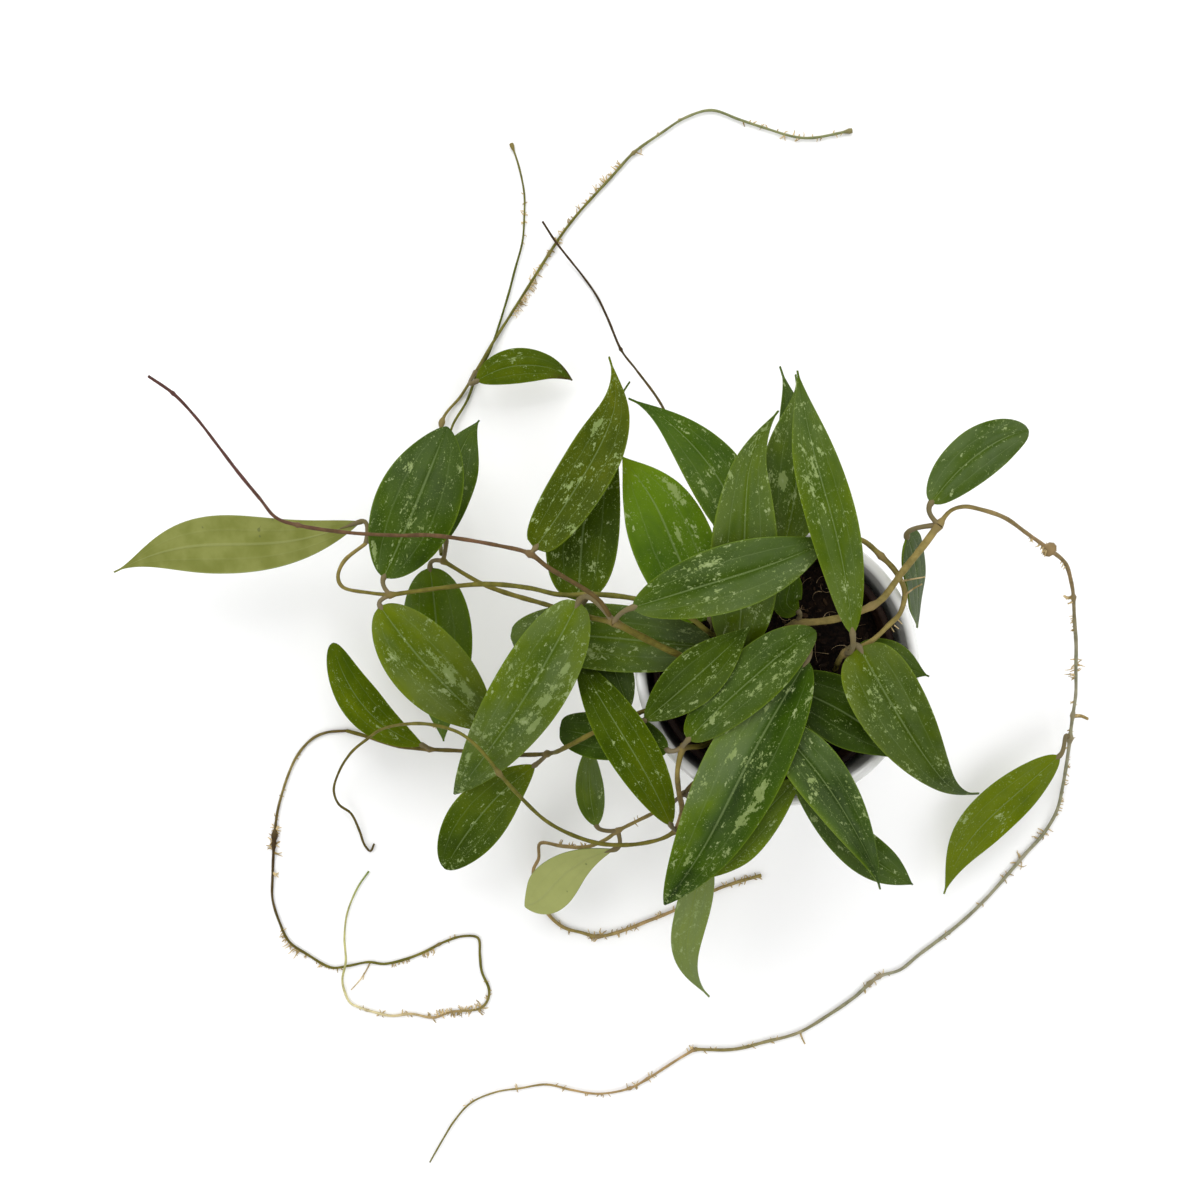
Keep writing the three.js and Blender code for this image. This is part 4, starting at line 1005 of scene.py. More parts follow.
def leaf_top():
    paint = Paint("leaf_top", IOR=1.45, Specular_IOR_Level=0.02, Coat_Roughness=0.3)
    across, along, patches = paint.parts(paint.stored("vein"))
    place = paint.stored("place")
    hue, flecks, coat_and_painted_sheen = paint.parts(paint.stored("look"))
    olive, dried, pallid = paint.parts(paint.stored("age"))
    edge = abs(across)

    def strewn(wide, long, detail, roughness):
        """Noise with its own scale across and along the blade, different on each leaf."""
        return paint.noise(paint.stretched(place, (wide, long, 1.0)), 1.0, detail, roughness)

    slow = paint.noise(paint.stretched(place, (1.0, 0.6, 1.0)), 70.0, 2.0)
    clouds = strewn(230.0, 110.0, 3.0, 0.6)
    ends = edge.step(0.86, 1.0) * 0.2 + along.step(0.16, 0.0) * 0.3
    tone = hue + (slow - 0.5) * 0.8 + (clouds - 0.5) * 0.5 + ends
    green = paint.mix(tone.step(-0.25, 0.5), GREENS["deep"], GREENS["grass"])
    green = paint.mix(tone.step(0.3, 1.3), green, GREENS["light"])
    green = paint.mix(tone.step(1.25, 2.3), green, GREENS["young"])
    green = paint.mix(olive, green, paint.stretched(green, TOWARDS_OLIVE))
    green = paint.mix(olive * -1.0, green, paint.stretched(green, TOWARDS_FRESH))
    # Painted sheen: soft bands of paler grey-green that stand in for the reflection of the lights.
    bands = strewn(75.0, 24.0, 3.0, 0.6)
    painted_sheen = coat_and_painted_sheen * bands.step(0.35, 0.62) * edge.step(0.03, 0.2)
    painted_sheen_green = paint.mix(painted_sheen * 0.55, green, GREENS["painted_sheen_green"])
    painted_sheen_green = paint.mix(pallid, painted_sheen_green, GREENS["pallid"])

    waver = paint.noise(place, 160.0, 1.0) - 0.5
    midrib = edge.step(0.045, 0.010) * along.step(1.0, 0.7)
    side = abs(edge + waver * 0.05 - SIDE_VEIN).step(0.030, 0.006)
    side = side * along.step(1.0, 0.75) * along.step(0.0, 0.12)
    slanted = along * SIDE_BRANCHES - edge * 1.1 + waver * 0.4
    branching = paint.node("ShaderNodeMath", {"operation": "PINGPONG"}, {0: slanted, 1: 0.5})
    branches = branching.step(0.035, 0.0) * edge.step(0.95, 0.6)
    veined = paint.mix(midrib * 0.50 + side * 0.20 + branches * 0.06, painted_sheen_green, GREENS["vein"])

    groups = strewn(95.0, 48.0, 2.0, 0.5)
    islands = strewn(330.0, 175.0, 6.0, 0.72)
    flakes = strewn(900.0, 560.0, 3.0, 0.6)
    specks = strewn(2100.0, 1500.0, 1.0, 0.5)
    chance_of = (flecks - 0.6) * 0.10 + (groups - 0.5) * 0.34
    large = (islands + chance_of + patches * 0.25).step(0.622, 0.640)
    small = (flakes + chance_of * 0.6).step(0.640, 0.668)
    dust = (specks + chance_of * 0.4).step(0.680, 0.720)
    silver = large.most(small * 0.85).most(dust * 0.6)
    pale = paint.mix(islands.step(0.55, 0.78), GREENS["dull fleck"], GREENS["bright fleck"])
    rimmed = paint.mix(edge.step(0.955, 0.985) * 0.45, veined, GREENS["margin"])
    flecked = paint.mix(silver * 0.85, rimmed, pale)
    brown = (dried * 1.6 - 0.5 + clouds).step(0.45, 0.85)

    fine = paint.noise(place, 2600.0, 2.0)
    height = silver * 0.15 - midrib * 0.6 - side * 0.3 - branches * 0.2 + slow * 0.8 + fine * 0.05
    paint.finish(
        Base_Color=paint.mix(brown * 0.75, flecked, DRY_BROWN),
        Roughness=0.38 + silver * 0.10 + (slow - 0.5) * 0.2,
        Coat_Weight=coat_and_painted_sheen * 0.20,
        Normal=paint.bump(height, 0.5, 0.0006),
    )
    return paint


top_paint = leaf_top()
print("leaf top", top_paint.size(), "nodes")


# %% Leaf underside
def leaf_underside():
    paint = Paint("leaf_underside", IOR=1.45, Specular_IOR_Level=0.2)
    across, _, _ = paint.parts(paint.stored("vein"))
    place = paint.stored("place")
    edge = abs(across)
    cloud = paint.noise(place, 90.0, 3.0)
    dots = paint.noise(place, 900.0, 1.0)
    spots = paint.noise(place, 210.0, 1.0)
    _, _, pallid = paint.parts(paint.stored("age"))
    base = paint.mix(cloud.step(0.3, 0.7), (0.140, 0.156, 0.026), (0.190, 0.206, 0.050))
    base = paint.mix(pallid, base, (0.400, 0.430, 0.160))
    rimmed = paint.mix(edge.step(0.93, 1.0) * 0.5, base, (0.24, 0.27, 0.09))
    rib = edge.step(0.07, 0.02)
    side = abs(edge - SIDE_VEIN).step(0.05, 0.015)
    veined = paint.mix(rib * 0.30 + side * 0.08, rimmed, (0.26, 0.28, 0.11))
    marks = spots.step(0.755, 0.79)
    paint.finish(
        Base_Color=paint.mix(marks * 0.6, veined, (0.075, 0.085, 0.030)),
        Roughness=0.55 + cloud * 0.15,
        Normal=paint.bump(rib * 0.8 + side * 0.3 + dots * 0.06, 0.4, 0.0006),
    )
    return paint


underside_paint = leaf_underside()
print("leaf underside", underside_paint.size(), "nodes")

# %% All the leaves
leaf_materials = [top_paint.material, underside_paint.material]
blades = [blade(name, number, leaf_materials) for number, name in enumerate(LEAVES)]
bpy.data.objects.remove(flat_sheet)
print(len(blades), "blades of", faces_of(blades[0]), "faces")

# %% [markdown]
# ## The vines
#
# A vine is a smooth stem that swells at each node, where the leaf stalks and the small roots grow. The
# leafy stems are olive and as thick as a pencil lead; the long bare runners are grey-green, and one young
# shoot is purple. A vine is one stretch or a few. A stretch has its radius in millimetres, how thin it is at
# its start and end as a share of that, a row of colours that is spread evenly along it (olive near the pot,
# grey-green or straw on the bare runners, brown where roots have dried), and the points that it runs through.

# %% Stretches of stem
STRETCHES = {
    "vine_west": [
        (1.6, 0.95, 0.92, "olive olive", [
            (-24, -3, 88), (-24, -3, 100), (-30, -1, 122), (-41, 3, 134), (-56, 10, 140), (-75, 20, 146),
        ]),
        (1.3, 0.92, 0.85, "olive olive", [
            (-75, 20, 146), (-86, 22, 136), (-104, 27, 116), (-137, 37, 80), (-159, 49, 62),
        ]),
    ],
    "vine_north": [
        (1.1, 0.9, 0.85, "moss moss", [
            (-160.3, 52.4, 58.3), (-163, 65, 40), (-163, 88, 20), (-163, 99, 12),
        ]),
        (0.8, 0.95, 0.6, "moss green moss", [
            (-163, 99, 12), (-161, 122, 4), (-153, 137, 1.6), (-148, 150, 1.6), (-141, 163, 1.6),
            (-131, 193, 1.6), (-127, 208, 1.6), (-123, 223, 1.6), (-122, 236, 1.6), (-122, 249, 1.6),
            (-125, 264, 1.6), (-129, 276, 1.6),
        ]),
        (1.05, 0.8, 0.62, "gold moss moss fern fern", [
            (-163, 99, 12), (-166, 126, 4), (-156, 140, 1.6), (-148, 152, 5), (-139, 168, 3),
            (-131, 181, 1.6), (-119, 200, 1.6), (-98, 232, 1.6), (-74, 259, 1.6), (-63, 271, 1.6),
            (-49, 281, 1.6), (-35, 290, 1.6), (-21, 294, 1.6), (-6, 289, 1.6), (6, 285, 1.6),
            (29, 279, 1.6), (55, 283, 1.6),
        ]),
    ],
    "shoot_purple": [
        # The lighter red-brown in the middle of the shoot is partly its own colour and partly a painted
        # highlight.
        (1.1, 0.95, 0.72, "brown rust rust purple purple", [
            (-76.9, 22.9, 147.9), (-82, 30, 152), (-104, 44, 142), (-112, 50, 136), (-126, 54, 124),
            (-161, 60, 100), (-175, 60, 97), (-203, 62, 86), (-228, 66, 76), (-240, 70, 70), (-250, 80, 62),
            (-263, 94, 54), (-275, 108, 47), (-288, 123, 40), (-301, 136, 36), (-314, 145, 35),
        ]),
    ],
    "vine_loop": [
        (1.3, 0.9, 0.85, "olive moss olive", [
            (-26, 14, 88), (-26, 14, 100), (-29, 13.5, 125), (-34.5, 16.5, 138), (-42, 22, 146),
            (-52, 26, 148), (-65, 30, 145), (-81, 32, 138), (-99, 32, 130), (-113, 35, 122),
            (-135, 37, 106), (-167, 34, 90), (-182, 32, 84),
        ]),
        (1.1, 0.85, 0.85, "olive gold", [
            (-182, 32, 84), (-192, 33, 80), (-207, 36, 72), (-210, 41, 68), (-208, 49, 62), (-198, 58, 57),
        ]),
    ],
    "shoot_north": [
        (0.75, 1, 0.8, "olive brown brown dark dark", [
            (-13, 34, 88), (-13, 34, 100), (-20, 46, 120), (-28, 61, 123), (-38, 91, 92), (-50, 128, 50),
            (-62, 150, 24), (-70, 163, 12), (-77, 181, 5), (-83, 194, 1.3), (-90, 204, 1.3), (-100, 216, 4),
            (-105, 222, 6), (-112, 233, 5),
        ]),
    ],
    "vine_east": [
        (1.75, 0.9, 0.9, "gold gold gold gold", [
            (0, 11, 88), (0, 11, 100), (1, 15, 118), (7, 19, 126), (17, 20, 130), (27, 22, 134),
            (39, 27, 138), (43, 30, 140), (51, 42, 145), (59, 53, 149), (65, 62, 152),
        ]),
        (1.25, 0.78, 0.72, "gold bronze bronze sage sage", [
            (65, 62, 152), (70, 68, 152), (76, 70, 150), (86, 69, 144), (99, 66, 134), (112, 60, 122),
            (127, 53, 108), (138, 47, 97), (145, 38, 85), (149, 32, 76), (154, 20, 63), (160, 7, 48),
            (164, -6, 36), (168, -20, 24), (169, -33, 16), (169, -44, 12),
        ]),
        (1.15, 0.8, 0.72, "sage sage sage gold", [
            (169, -44, 12), (169, -53, 9), (168, -68, 5), (165, -84, 3), (158, -97, 1.5), (149, -107, 1.5),
            (127, -132, 1.5), (112, -146, 1.5), (91, -162, 1.5), (81, -170, 1.5), (69, -174, 1.5),
            (56, -185, 1.5), (43, -194, 1.5), (26, -204, 1.5), (8, -209, 1.5), (-9, -213, 1.5),
            (-30, -213, 1.5),
        ]),
        (0.9, 0.75, 0.5, "tan tan gold moss", [
            (-30, -213, 1.5), (-40, -219, 1.5), (-54, -228, 1.5), (-65, -234, 1.5), (-82, -237, 1.5),
            (-96, -235, 1.5), (-110, -232, 1.5), (-124, -234, 1.5), (-137, -236, 1.5), (-151, -242, 1.5),
            (-160, -252, 1.5), (-165, -260, 1.5), (-173, -274, 1.5),
        ]),
    ],
    "vine_east_back": [
        (1.35, 0.9, 0.85, "olive gold olive", [
            (29, -3, 88), (29, -3, 100), (27, 2, 122), (28, 6, 134), (39, 11, 134), (48, 19, 133),
            (52, 23, 133), (54, 29, 134), (54, 34, 135), (50, 42, 136), (43, 49, 138), (34, 56, 140),
            (22, 58, 141), (10, 54, 139), (2, 46, 138),
        ]),
    ],
    "vine_south_west": [
        (1.3, 0.9, 0.85, "brown olive brown olive", [
            (-34, -18, 88), (-34, -18, 100), (-42, -17, 115), (-51, -19, 121), (-62, -21, 122),
            (-66, -23, 121), (-72, -26, 118), (-81, -30, 111), (-96, -39, 99), (-107, -46, 68),
            (-129, -49, 45), (-153, -49, 28), (-171, -49, 20), (-190, -48, 10), (-206, -44, 4),
            (-218, -41, 1.1),
        ]),
        (0.8, 0.9, 0.85, "brown gold dark brown olive moss olive moss tan cream", [
            (-218, -41, 1.1), (-229, -42, 1.1), (-236, -45, 1.1), (-243, -52, 1.1), (-248, -61, 1.1),
            (-255, -83, 1.1), (-257, -99, 1.1), (-258, -120, 1.1), (-258, -132, 1.1), (-254, -145, 1.1),
            (-249, -155, 1.1), (-239, -162, 1.1), (-226, -169, 1.1), (-217, -168, 1.1), (-206, -166, 1.1),
            (-198, -167, 1.1), (-188, -165, 1.1), (-177, -161, 1.1), (-165, -155, 1.1), (-155, -152, 1.1),
            (-147, -153, 1.1), (-146, -162, 1.1), (-145, -171, 1.1), (-141, -181, 1.1), (-142, -187, 1.1),
            (-146, -191, 1.1), (-162, -193, 1.1), (-171, -196, 1.1), (-183, -194, 1.1), (-194, -195, 1.1),
            (-207, -192, 1.1),
        ]),
        (0.65, 1, 0.7, "cream straw straw sprout", [
            (-207, -192, 1.1), (-216, -188, 1.1), (-219, -182, 1.1), (-220, -175, 2.6), (-218, -165, 3.4),
            (-219, -153, 2), (-218, -141, 1.1), (-215, -132, 1.1), (-211, -124, 1.1), (-206, -117, 1.1),
        ]),
    ],
    "vine_south": [
        (1.35, 0.95, 0.95, "olive olive", [
            (-28, -36, 88), (-28, -36, 100), (-35, -37, 118), (-44, -37, 124),
        ]),
        (1.35, 0.95, 0.9, "olive tan", [
            (-44, -37, 124), (-46, -47, 123), (-45, -58, 114), (-43, -68, 106), (-45, -79, 97),
        ]),
        (1.2, 0.9, 0.5, "olive moss olive brown", [
            (-45, -79, 97), (-51, -83, 94), (-61, -87, 86), (-71, -89, 79), (-82, -89, 74), (-95, -85, 73),
            (-107, -78, 76), (-119, -65, 86), (-129, -52, 95), (-133, -46, 98), (-139, -39, 99),
            (-147, -33, 98), (-160, -30, 90), (-175, -31, 72), (-192, -36, 48), (-201, -42, 36),
            (-211, -50, 26), (-219, -61, 17), (-223, -72, 11), (-221, -80, 7), (-215, -85, 5),
            (-211, -94, 3), (-208, -103, 1.5), (-205, -106, 1.5), (-203, -102, 1.5),
        ]),
    ],
    "vine_low_south": [
        (1.15, 0.95, 0.75, "brown brown brown gold tan gold tan gold", [
            (-16, -42, 88), (-16, -42, 100), (-24, -46, 116), (-30, -49, 120), (-38, -53, 122),
            (-42, -60, 108), (-44, -66, 84), (-46, -70, 70), (-55, -78, 52), (-64, -84, 43), (-72, -89, 38),
            (-78, -94, 34), (-88, -99, 28), (-101, -100, 20), (-113, -100, 12), (-114, -109, 7),
            (-117, -116, 4), (-115, -128, 1.5), (-109, -140, 1.5), (-101, -147, 1.5), (-91, -150, 1.5),
            (-82, -152, 1.5), (-69, -149, 1.5), (-56, -144, 1.5), (-41, -138, 1.5), (-19, -127, 1.5),
            (-8, -123, 1.5), (6, -119, 1.5),
        ]),
    ],
    "crown_stem_middle": [
        (1.5, 1, 1, "olive olive", [(-10, -2, 88), (-10, -2, 100), (-11, -2, 110), (-12, -2, 118)]),
    ],
    "crown_stem_south": [
        (1.5, 1, 1, "olive olive", [(4, -30, 88), (4, -30, 100), (4, -30, 106), (4, -31, 112)]),
    ],
}
print(sum(len(stretches) for stretches in STRETCHES.values()), "stretches of", len(STRETCHES), "vines")

# %% [markdown]
# The nodes are points on the stems, each with the radius that the stem swells to. A stalk has its leaf, the
# point where it leaves the stem and, where it arches aside, how far.

# %% Nodes and leaf stalks
NODES = {
    "vine_west": [(-75, 20, 146, 2.4), (-159, 49, 62, 2.2)],
    "vine_north": [
        (-163, 99, 12, 1.6), (-166, 126, 4, 1.5), (-63, 271, 2.0, 1.4), (-129, 276, 2.0, 1.3),
        (55, 283, 2.0, 1.4),
    ],
    "shoot_purple": [(-112, 50, 136, 2.1), (-228, 66, 76, 1.6), (-301, 136, 36, 1.4)],
    "vine_loop": [(-182, 32, 84, 2.2), (-86, 32, 136, 1.8)],
    "shoot_north": [(-70, 163, 12, 1.2)],
    "vine_east": [
        (7, 19, 126, 2.4), (39, 27, 138, 2.4), (65, 62, 152, 2.6), (127, 53, 108, 2.2), (169, -44, 12, 2.2),
        (69, -174, 1.9, 1.6), (-30, -213, 1.9, 1.6), (-65, -234, 1.9, 1.4),
    ],
    "vine_east_back": [(28, 6, 134, 2.4), (43, 49, 138, 2.0)],
    "vine_south_west": [
        (-72, -26, 118, 2.0), (-107, -46, 68, 2.2), (-171, -49, 20, 1.9), (-257, -99, 1.5, 1.6),
        (-207, -192, 1.5, 1.1),
    ],
    "vine_south": [(-44, -37, 124, 2.4), (-45, -79, 97, 2.1), (-129, -52, 95, 1.8)],
    "vine_low_south": [(-72, -89, 38, 2.2), (-82, -152, 1.9, 1.7), (-42, -60, 108, 1.9)],
    "crown_stem_middle": [(-12, -2, 118, 2.2)],
    "crown_stem_south": [(4, -31, 112, 2.3)],
}
STALKS = {
    "vine_west": [
        ("top", (-75, 20, 146)), ("grey_long", (-75, 20, 146)), ("cross_west", (-28, -1, 118)),
        ("behind_round", (-159, 49, 62)), ("dark_west", (-159, 49, 62)),
    ],
    "vine_north": [("small_north", (-148, 152, 5))],
    "shoot_purple": [("olive_north", (-112, 50, 136))],
    "vine_loop": [
        ("bright_north", (-31.2, 14.7, 130)), ("olive_behind", (-86, 32, 136)),
        ("round_west", (-182, 32, 84)), ("yellow_west", (-182, 32, 84)), ("pale_west", (-198, 58, 57)),
    ],
    "shoot_north": [("north_tip", (-13, 34, 102))],
    "vine_east": [
        ("small_inner", (7, 19, 126)), ("largest", (3, 16, 121)), ("raised_east", (65, 62, 152)),
        ("hanging_east", (65, 62, 152)), ("far_east", (169, -44, 12), (-4, 8, 1)),
    ],
    "vine_east_back": [
        ("crest_front", (28, 6, 134)), ("east", (28, 6, 134)), ("east_under", (27, 2, 122)),
        ("crest_wide", (2, 46, 138)), ("crest_back", (2, 46, 138)),
    ],
    "vine_south_west": [
        ("glossy_centre", (-66, -23, 121)), ("tucked_west", (-72, -26, 118)),
        ("notched_south", (-107, -46, 68)), ("bright_west", (-171, -49, 20)),
    ],
    "vine_south": [
        ("centre", (-44, -37, 124)), ("blunt_dark", (-44, -37, 124)), ("slim_south", (-45, -79, 97)),
    ],
    "vine_low_south": [
        ("wavy_south", (-42, -60, 108)), ("small_south", (-72, -89, 38)), ("pale_south", (-72, -89, 38)),
    ],
    "crown_stem_middle": [("upright", (-12, -2, 118)), ("dark_inner", (-11, -2, 114))],
    "crown_stem_south": [
        ("dark_south", (4, -31, 112)), ("south_behind", (4, -31, 112)), ("bright_south", (4, -31, 112)),
    ],
}
print(sum(len(stalks) for stalks in STALKS.values()), "leaf stalks")

# %% [markdown]
# The next tables add what makes the real stems uneven. Their places are read off the photograph, in its
# pixels, because these small things are seen best there. A tuft is a bunch of short roots: its place across
# and down, how many roots, the longest in millimetres, and the side of the stem (1 left, -1 right, 0 both).
# Spurs are single longer roots and bits of old flower stalk: a radius, and points with their height above the
# table. Lumps are swellings on the bare stems, each with its radius. `SKIN` then names the colours of stems.

# %% Tufts of roots
ROOT_TUFTS = {
    "vine_north": [
        (615, 162, 3, 2.5, 1), (608, 170, 3, 3, 1), (600, 178, 4, 4.5, 1), (591, 188, 4, 4, 1),
        (580, 200, 3, 2.5, 1), (568, 215, 6, 3.5, 1), (562, 232, 3, 2, 1), (551, 240, 4, 2, 0),
        (545, 253, 4, 2, 0), (535, 268, 4, 2, 0), (527, 277, 7, 3.5, 0), (522, 288, 16, 3.5, -1),
        (518, 297, 18, 4, -1), (513, 305, 14, 3.5, -1), (637, 151, 1, 4, -1), (523, 200, 2, 1.6, 0),
        (522, 212, 3, 1.8, 0), (521, 226, 2, 1.8, 0), (520, 240, 1, 1.6, -1), (677, 116, 1, 1.2, 1),
        (653, 132, 1, 1.2, 1), (748, 122, 2, 2, 0), (762, 128, 3, 2, 0), (778, 136, 3, 2.5, 0),
        (796, 142, 4, 2.5, 0), (815, 140, 2, 2, 0), (836, 134, 2, 1.8, 0),
    ],
    "vine_east": [
        (1030, 537, 4, 2, -1), (1040, 544, 5, 2.5, -1), (1051, 549, 8, 3, 0), (1062, 562, 3, 2, -1),
        (1071, 597, 3, 3, -1), (1073, 616, 3, 2, -1), (1075, 626, 2, 1.6, -1), (1077, 660, 4, 3.5, 0),
        (1076, 669, 6, 4.5, 0), (1075, 676, 4, 4, -1), (1076, 703, 2, 1.5, 0), (1068, 728, 2, 1.5, 0),
        (1070, 742, 5, 2, 0), (1068, 757, 2, 1.5, 1), (1067, 768, 3, 1.8, 1), (1065, 780, 3, 2, 1),
        (1063, 792, 3, 2, 1), (1060, 803, 3, 2.5, 1), (1056, 812, 2, 2, 1), (1047, 832, 6, 3, 0),
        (1022, 860, 5, 5, 0), (1010, 878, 4, 3, 0), (985, 905, 2, 1.6, 0), (950, 935, 2, 1.6, 0),
        (880, 976, 6, 2.2, 0), (868, 984, 4, 2, 0), (770, 1038, 3, 1.6, 0), (750, 1046, 3, 1.6, 0),
        (712, 1051, 3, 1.8, 0), (693, 1054, 4, 2.5, -1), (652, 1075, 5, 2, 0), (632, 1086, 5, 2, 0),
        (606, 1094, 3, 2, 1), (592, 1095, 2, 1.6, 1), (562, 1090, 3, 1.6, 0), (520, 1085, 3, 2.2, 0),
        (470, 1100, 2, 1.4, 0),
    ],
    "vine_south_west": [
        (275, 828, 7, 2.2, 0), (274, 836, 9, 3, 0), (276, 845, 10, 4, 0), (272, 875, 3, 3.5, 0),
        (279, 930, 4, 3, 0), (284, 942, 3, 3, -1), (289, 951, 6, 4.5, -1), (297, 957, 4, 3, -1),
        (311, 963, 3, 2.5, -1), (322, 968, 3, 2, -1), (336, 970, 3, 2, -1), (396, 964, 5, 2.5, -1),
        (404, 962, 5, 2.5, -1), (426, 956, 4, 3, -1), (430, 954, 4, 4.5, -1), (447, 942, 3, 1.6, 0),
        (480, 985, 2, 1.6, 0), (486, 997, 3, 2, 0), (478, 1005, 9, 4, 0), (468, 1006, 9, 3.5, 0),
        (458, 1008, 8, 3, 0), (446, 1011, 8, 3, 0), (436, 1013, 7, 3, 0), (407, 1013, 4, 2, 0),
        (385, 1009, 3, 2, 0), (367, 1005, 3, 1.6, 0), (300, 760, 1, 1.5, 0), (285, 790, 2, 1.5, 0),
        (281, 815, 3, 2, 0),
    ],
    "vine_low_south": [
        (640, 824, 2, 1.5, 0), (583, 848, 4, 2, -1), (574, 849, 4, 2, -1), (566, 849, 4, 2.5, -1),
        (565, 925, 3, 2, 0), (590, 932, 6, 2.5, 0), (598, 932, 7, 3, 0), (611, 936, 4, 2.5, 0),
        (625, 930, 3, 2, 0), (633, 927, 3, 2, 0), (657, 919, 3, 1.8, 0), (672, 912, 2, 1.6, 0),
        (727, 888, 3, 1.8, 0), (738, 884, 3, 2, 0), (748, 880, 4, 2, 0), (756, 877, 3, 1.8, 0),
    ],
    "vine_south": [
        (437, 724, 1, 1.2, 0),
    ],
}
print(sum(len(tufts) for tufts in ROOT_TUFTS.values()), "tufts")

# %% Spurs and lumps
SPURS = {
    "vine_east": [
        (1.1, [(1074, 716, 17), (1081, 716, 17), (1088, 719, 16)]),
        (0.55, [(800, 1032, 1.5), (802, 1038, 1.5), (805, 1044, 1.5)]),
        (0.9, [(1072, 597, 75), (1068, 598, 75), (1064, 596, 76)]),
    ],
    "vine_south_west": [
        (0.4, [(370, 963, 1.1), (366, 971, 1.1), (360, 980, 1.1), (351, 990, 1.1)]),
        (0.3, [(364, 973, 1.1), (363, 980, 1.1)]),
    ],
    "vine_east_back": [
        (0.42, [(902, 581, 136), (913, 579, 142), (925, 577, 146)]),
        (0.42, [(904, 596, 135), (913, 589, 139), (922, 584, 143)]),
        (0.28, [(898, 620, 132.5), (902, 624, 132.5)]),
        (0.28, [(894, 625, 132.5), (899, 629, 132)]),
        (0.28, [(891, 627, 132), (894, 632, 131.5)]),
    ],
}
LUMPS = {
    "vine_east": [(1051, 549, 2.9), (1072, 597, 1.7), (1078, 716, 1.6), (870, 981, 1.7), (647, 1077, 1.2)],
    "vine_north": [(513, 148, 1.35), (443, 424, 1.9), (545, 253, 1.3), (853, 130, 1.6)],
    "vine_south_west": [(275, 833, 1.9), (276, 845, 1.7), (440, 948, 1.2)],
}
print(sum(len(lumps) for lumps in LUMPS.values()), "lumps")

# %% Stem colours
# The lighter red-brown of the purple shoot is partly its own colour and partly a painted highlight.
SKIN = {
    "olive": (0.135, 0.115, 0.018), "green": (0.075, 0.092, 0.008), "sage": (0.270, 0.262, 0.165),
    "gold": (0.255, 0.200, 0.062), "tan": (0.380, 0.262, 0.118), "straw": (0.440, 0.425, 0.170),
    "cream": (0.660, 0.580, 0.340), "brown": (0.088, 0.061, 0.016), "dark": (0.050, 0.030, 0.012),
    "purple": (0.088, 0.037, 0.030), "moss": (0.135, 0.128, 0.022), "sprout": (0.190, 0.250, 0.050),
    "fern": (0.205, 0.220, 0.095), "bronze": (0.225, 0.160, 0.068), "rust": (0.118, 0.066, 0.030),
}
print(len(SKIN), "skin colours")

# %% [markdown]
# ### Smooth lines through given points
#
# A stem passes through every point of its table on a centripetal Catmull-Rom curve, which doesn't loop or
# overshoot where points crowd together. It is sampled every 1.6 millimetres, and each sample gets a radius:
# the stretch's own, with a smooth swelling at each node and a slow unevenness, because a grown stem is never
# quite even.


# %% Smooth lines
STEM_SPACING = 1.6


def smooth_line(points, spacing):
    """Points along a centripetal Catmull-Rom curve, in the units of the points."""
    given = [Vector(p) for p in points]
    given = [given[0] * 2 - given[1], *given, given[-1] * 2 - given[-2]]
    line = []
    for a, b, c, d in zip(given, given[1:], given[2:], given[3:]):
        first, middle, last = (max((q - p).length, 1e-6) ** 0.5 for p, q in ((a, b), (b, c), (c, d)))
        leave = ((b - a) / first - (c - a) / (first + middle) + (c - b) / middle) * middle
        arrive = ((c - b) / middle - (d - b) / (middle + last) + (d - c) / last) * middle
        steps = max(1, round((c - b).length / spacing))
        for i in range(steps):
            t = i / steps
            line.append(
                b * (2 * t ** 3 - 3 * t ** 2 + 1)
                + leave * (t ** 3 - 2 * t ** 2 + t)
                + c * (3 * t ** 2 - 2 * t ** 3)
                + arrive * (t ** 3 - t ** 2)
            )
    line.append(given[-2])
    return line


print("vine_west starts with", len(smooth_line(STRETCHES["vine_west"][0][-1], STEM_SPACING)), "samples")

# %% [markdown]
# The tables of tufts, spurs and lumps hold pixels of the photograph, so the script has to know where a point
# is seen, and what lies under a pixel. The camera looks straight down, so both are plain proportions: a pixel
# covers less the higher a thing stands. A tuft belongs to the place on its vine that is seen nearest to it.


# %% From the photograph to the stems
PHOTO_MIDDLE = 600
PIXEL_ON_TABLE = SEEN_WIDTH / MM / (2 * PHOTO_MIDDLE)
SEARCH_SPACING = 2.0


def pixel_at(height):
    """The width of a pixel in millimetres, at a height above the table."""
    return PIXEL_ON_TABLE * (1 - height * MM / CAMERA_AT.z)


def seen_at(point):
    """The pixel of the photograph, across and down, where a point in millimetres is seen."""
    pixel = pixel_at(point.z)
    return (
        PHOTO_MIDDLE + (point.x - CAMERA_AT.x / MM) / pixel,
        PHOTO_MIDDLE - (point.y - CAMERA_AT.y / MM) / pixel,
    )


def under_pixel(across, down, height):
    """The point, in millimetres, that the photograph shows at a pixel, at a height above the table."""
    pixel = pixel_at(height)
    x = CAMERA_AT.x / MM + (across - PHOTO_MIDDLE) * pixel
    y = CAMERA_AT.y / MM - (down - PHOTO_MIDDLE) * pixel
    return Vector((x, y, height))


def on_stem(node, across, down):
    """The line of a vine that passes nearest to a pixel, where along it that is, and its radius."""
    found = []
    for radius, _, _, _, points in STRETCHES[node]:
        line = smooth_line(points, SEARCH_SPACING)
        for i, point in enumerate(line[:-1]):
            found.append((math.dist(seen_at(point), (across, down)), i, line, radius))
    _, i, line, radius = min(found, key=lambda entry: entry[0])
    return line, i, radius


print("a pixel is", round(PIXEL_ON_TABLE, 3), "mm on the table")


# %% Stems with swellings
SLOW_WAVER = 0.06
QUICK_WAVER = 0.05
ROUGHNESS_OF_STEM = 0.03
NODE_FULLNESS = 0.92
NODE_REACH = 0.85
BLOCK = 2000


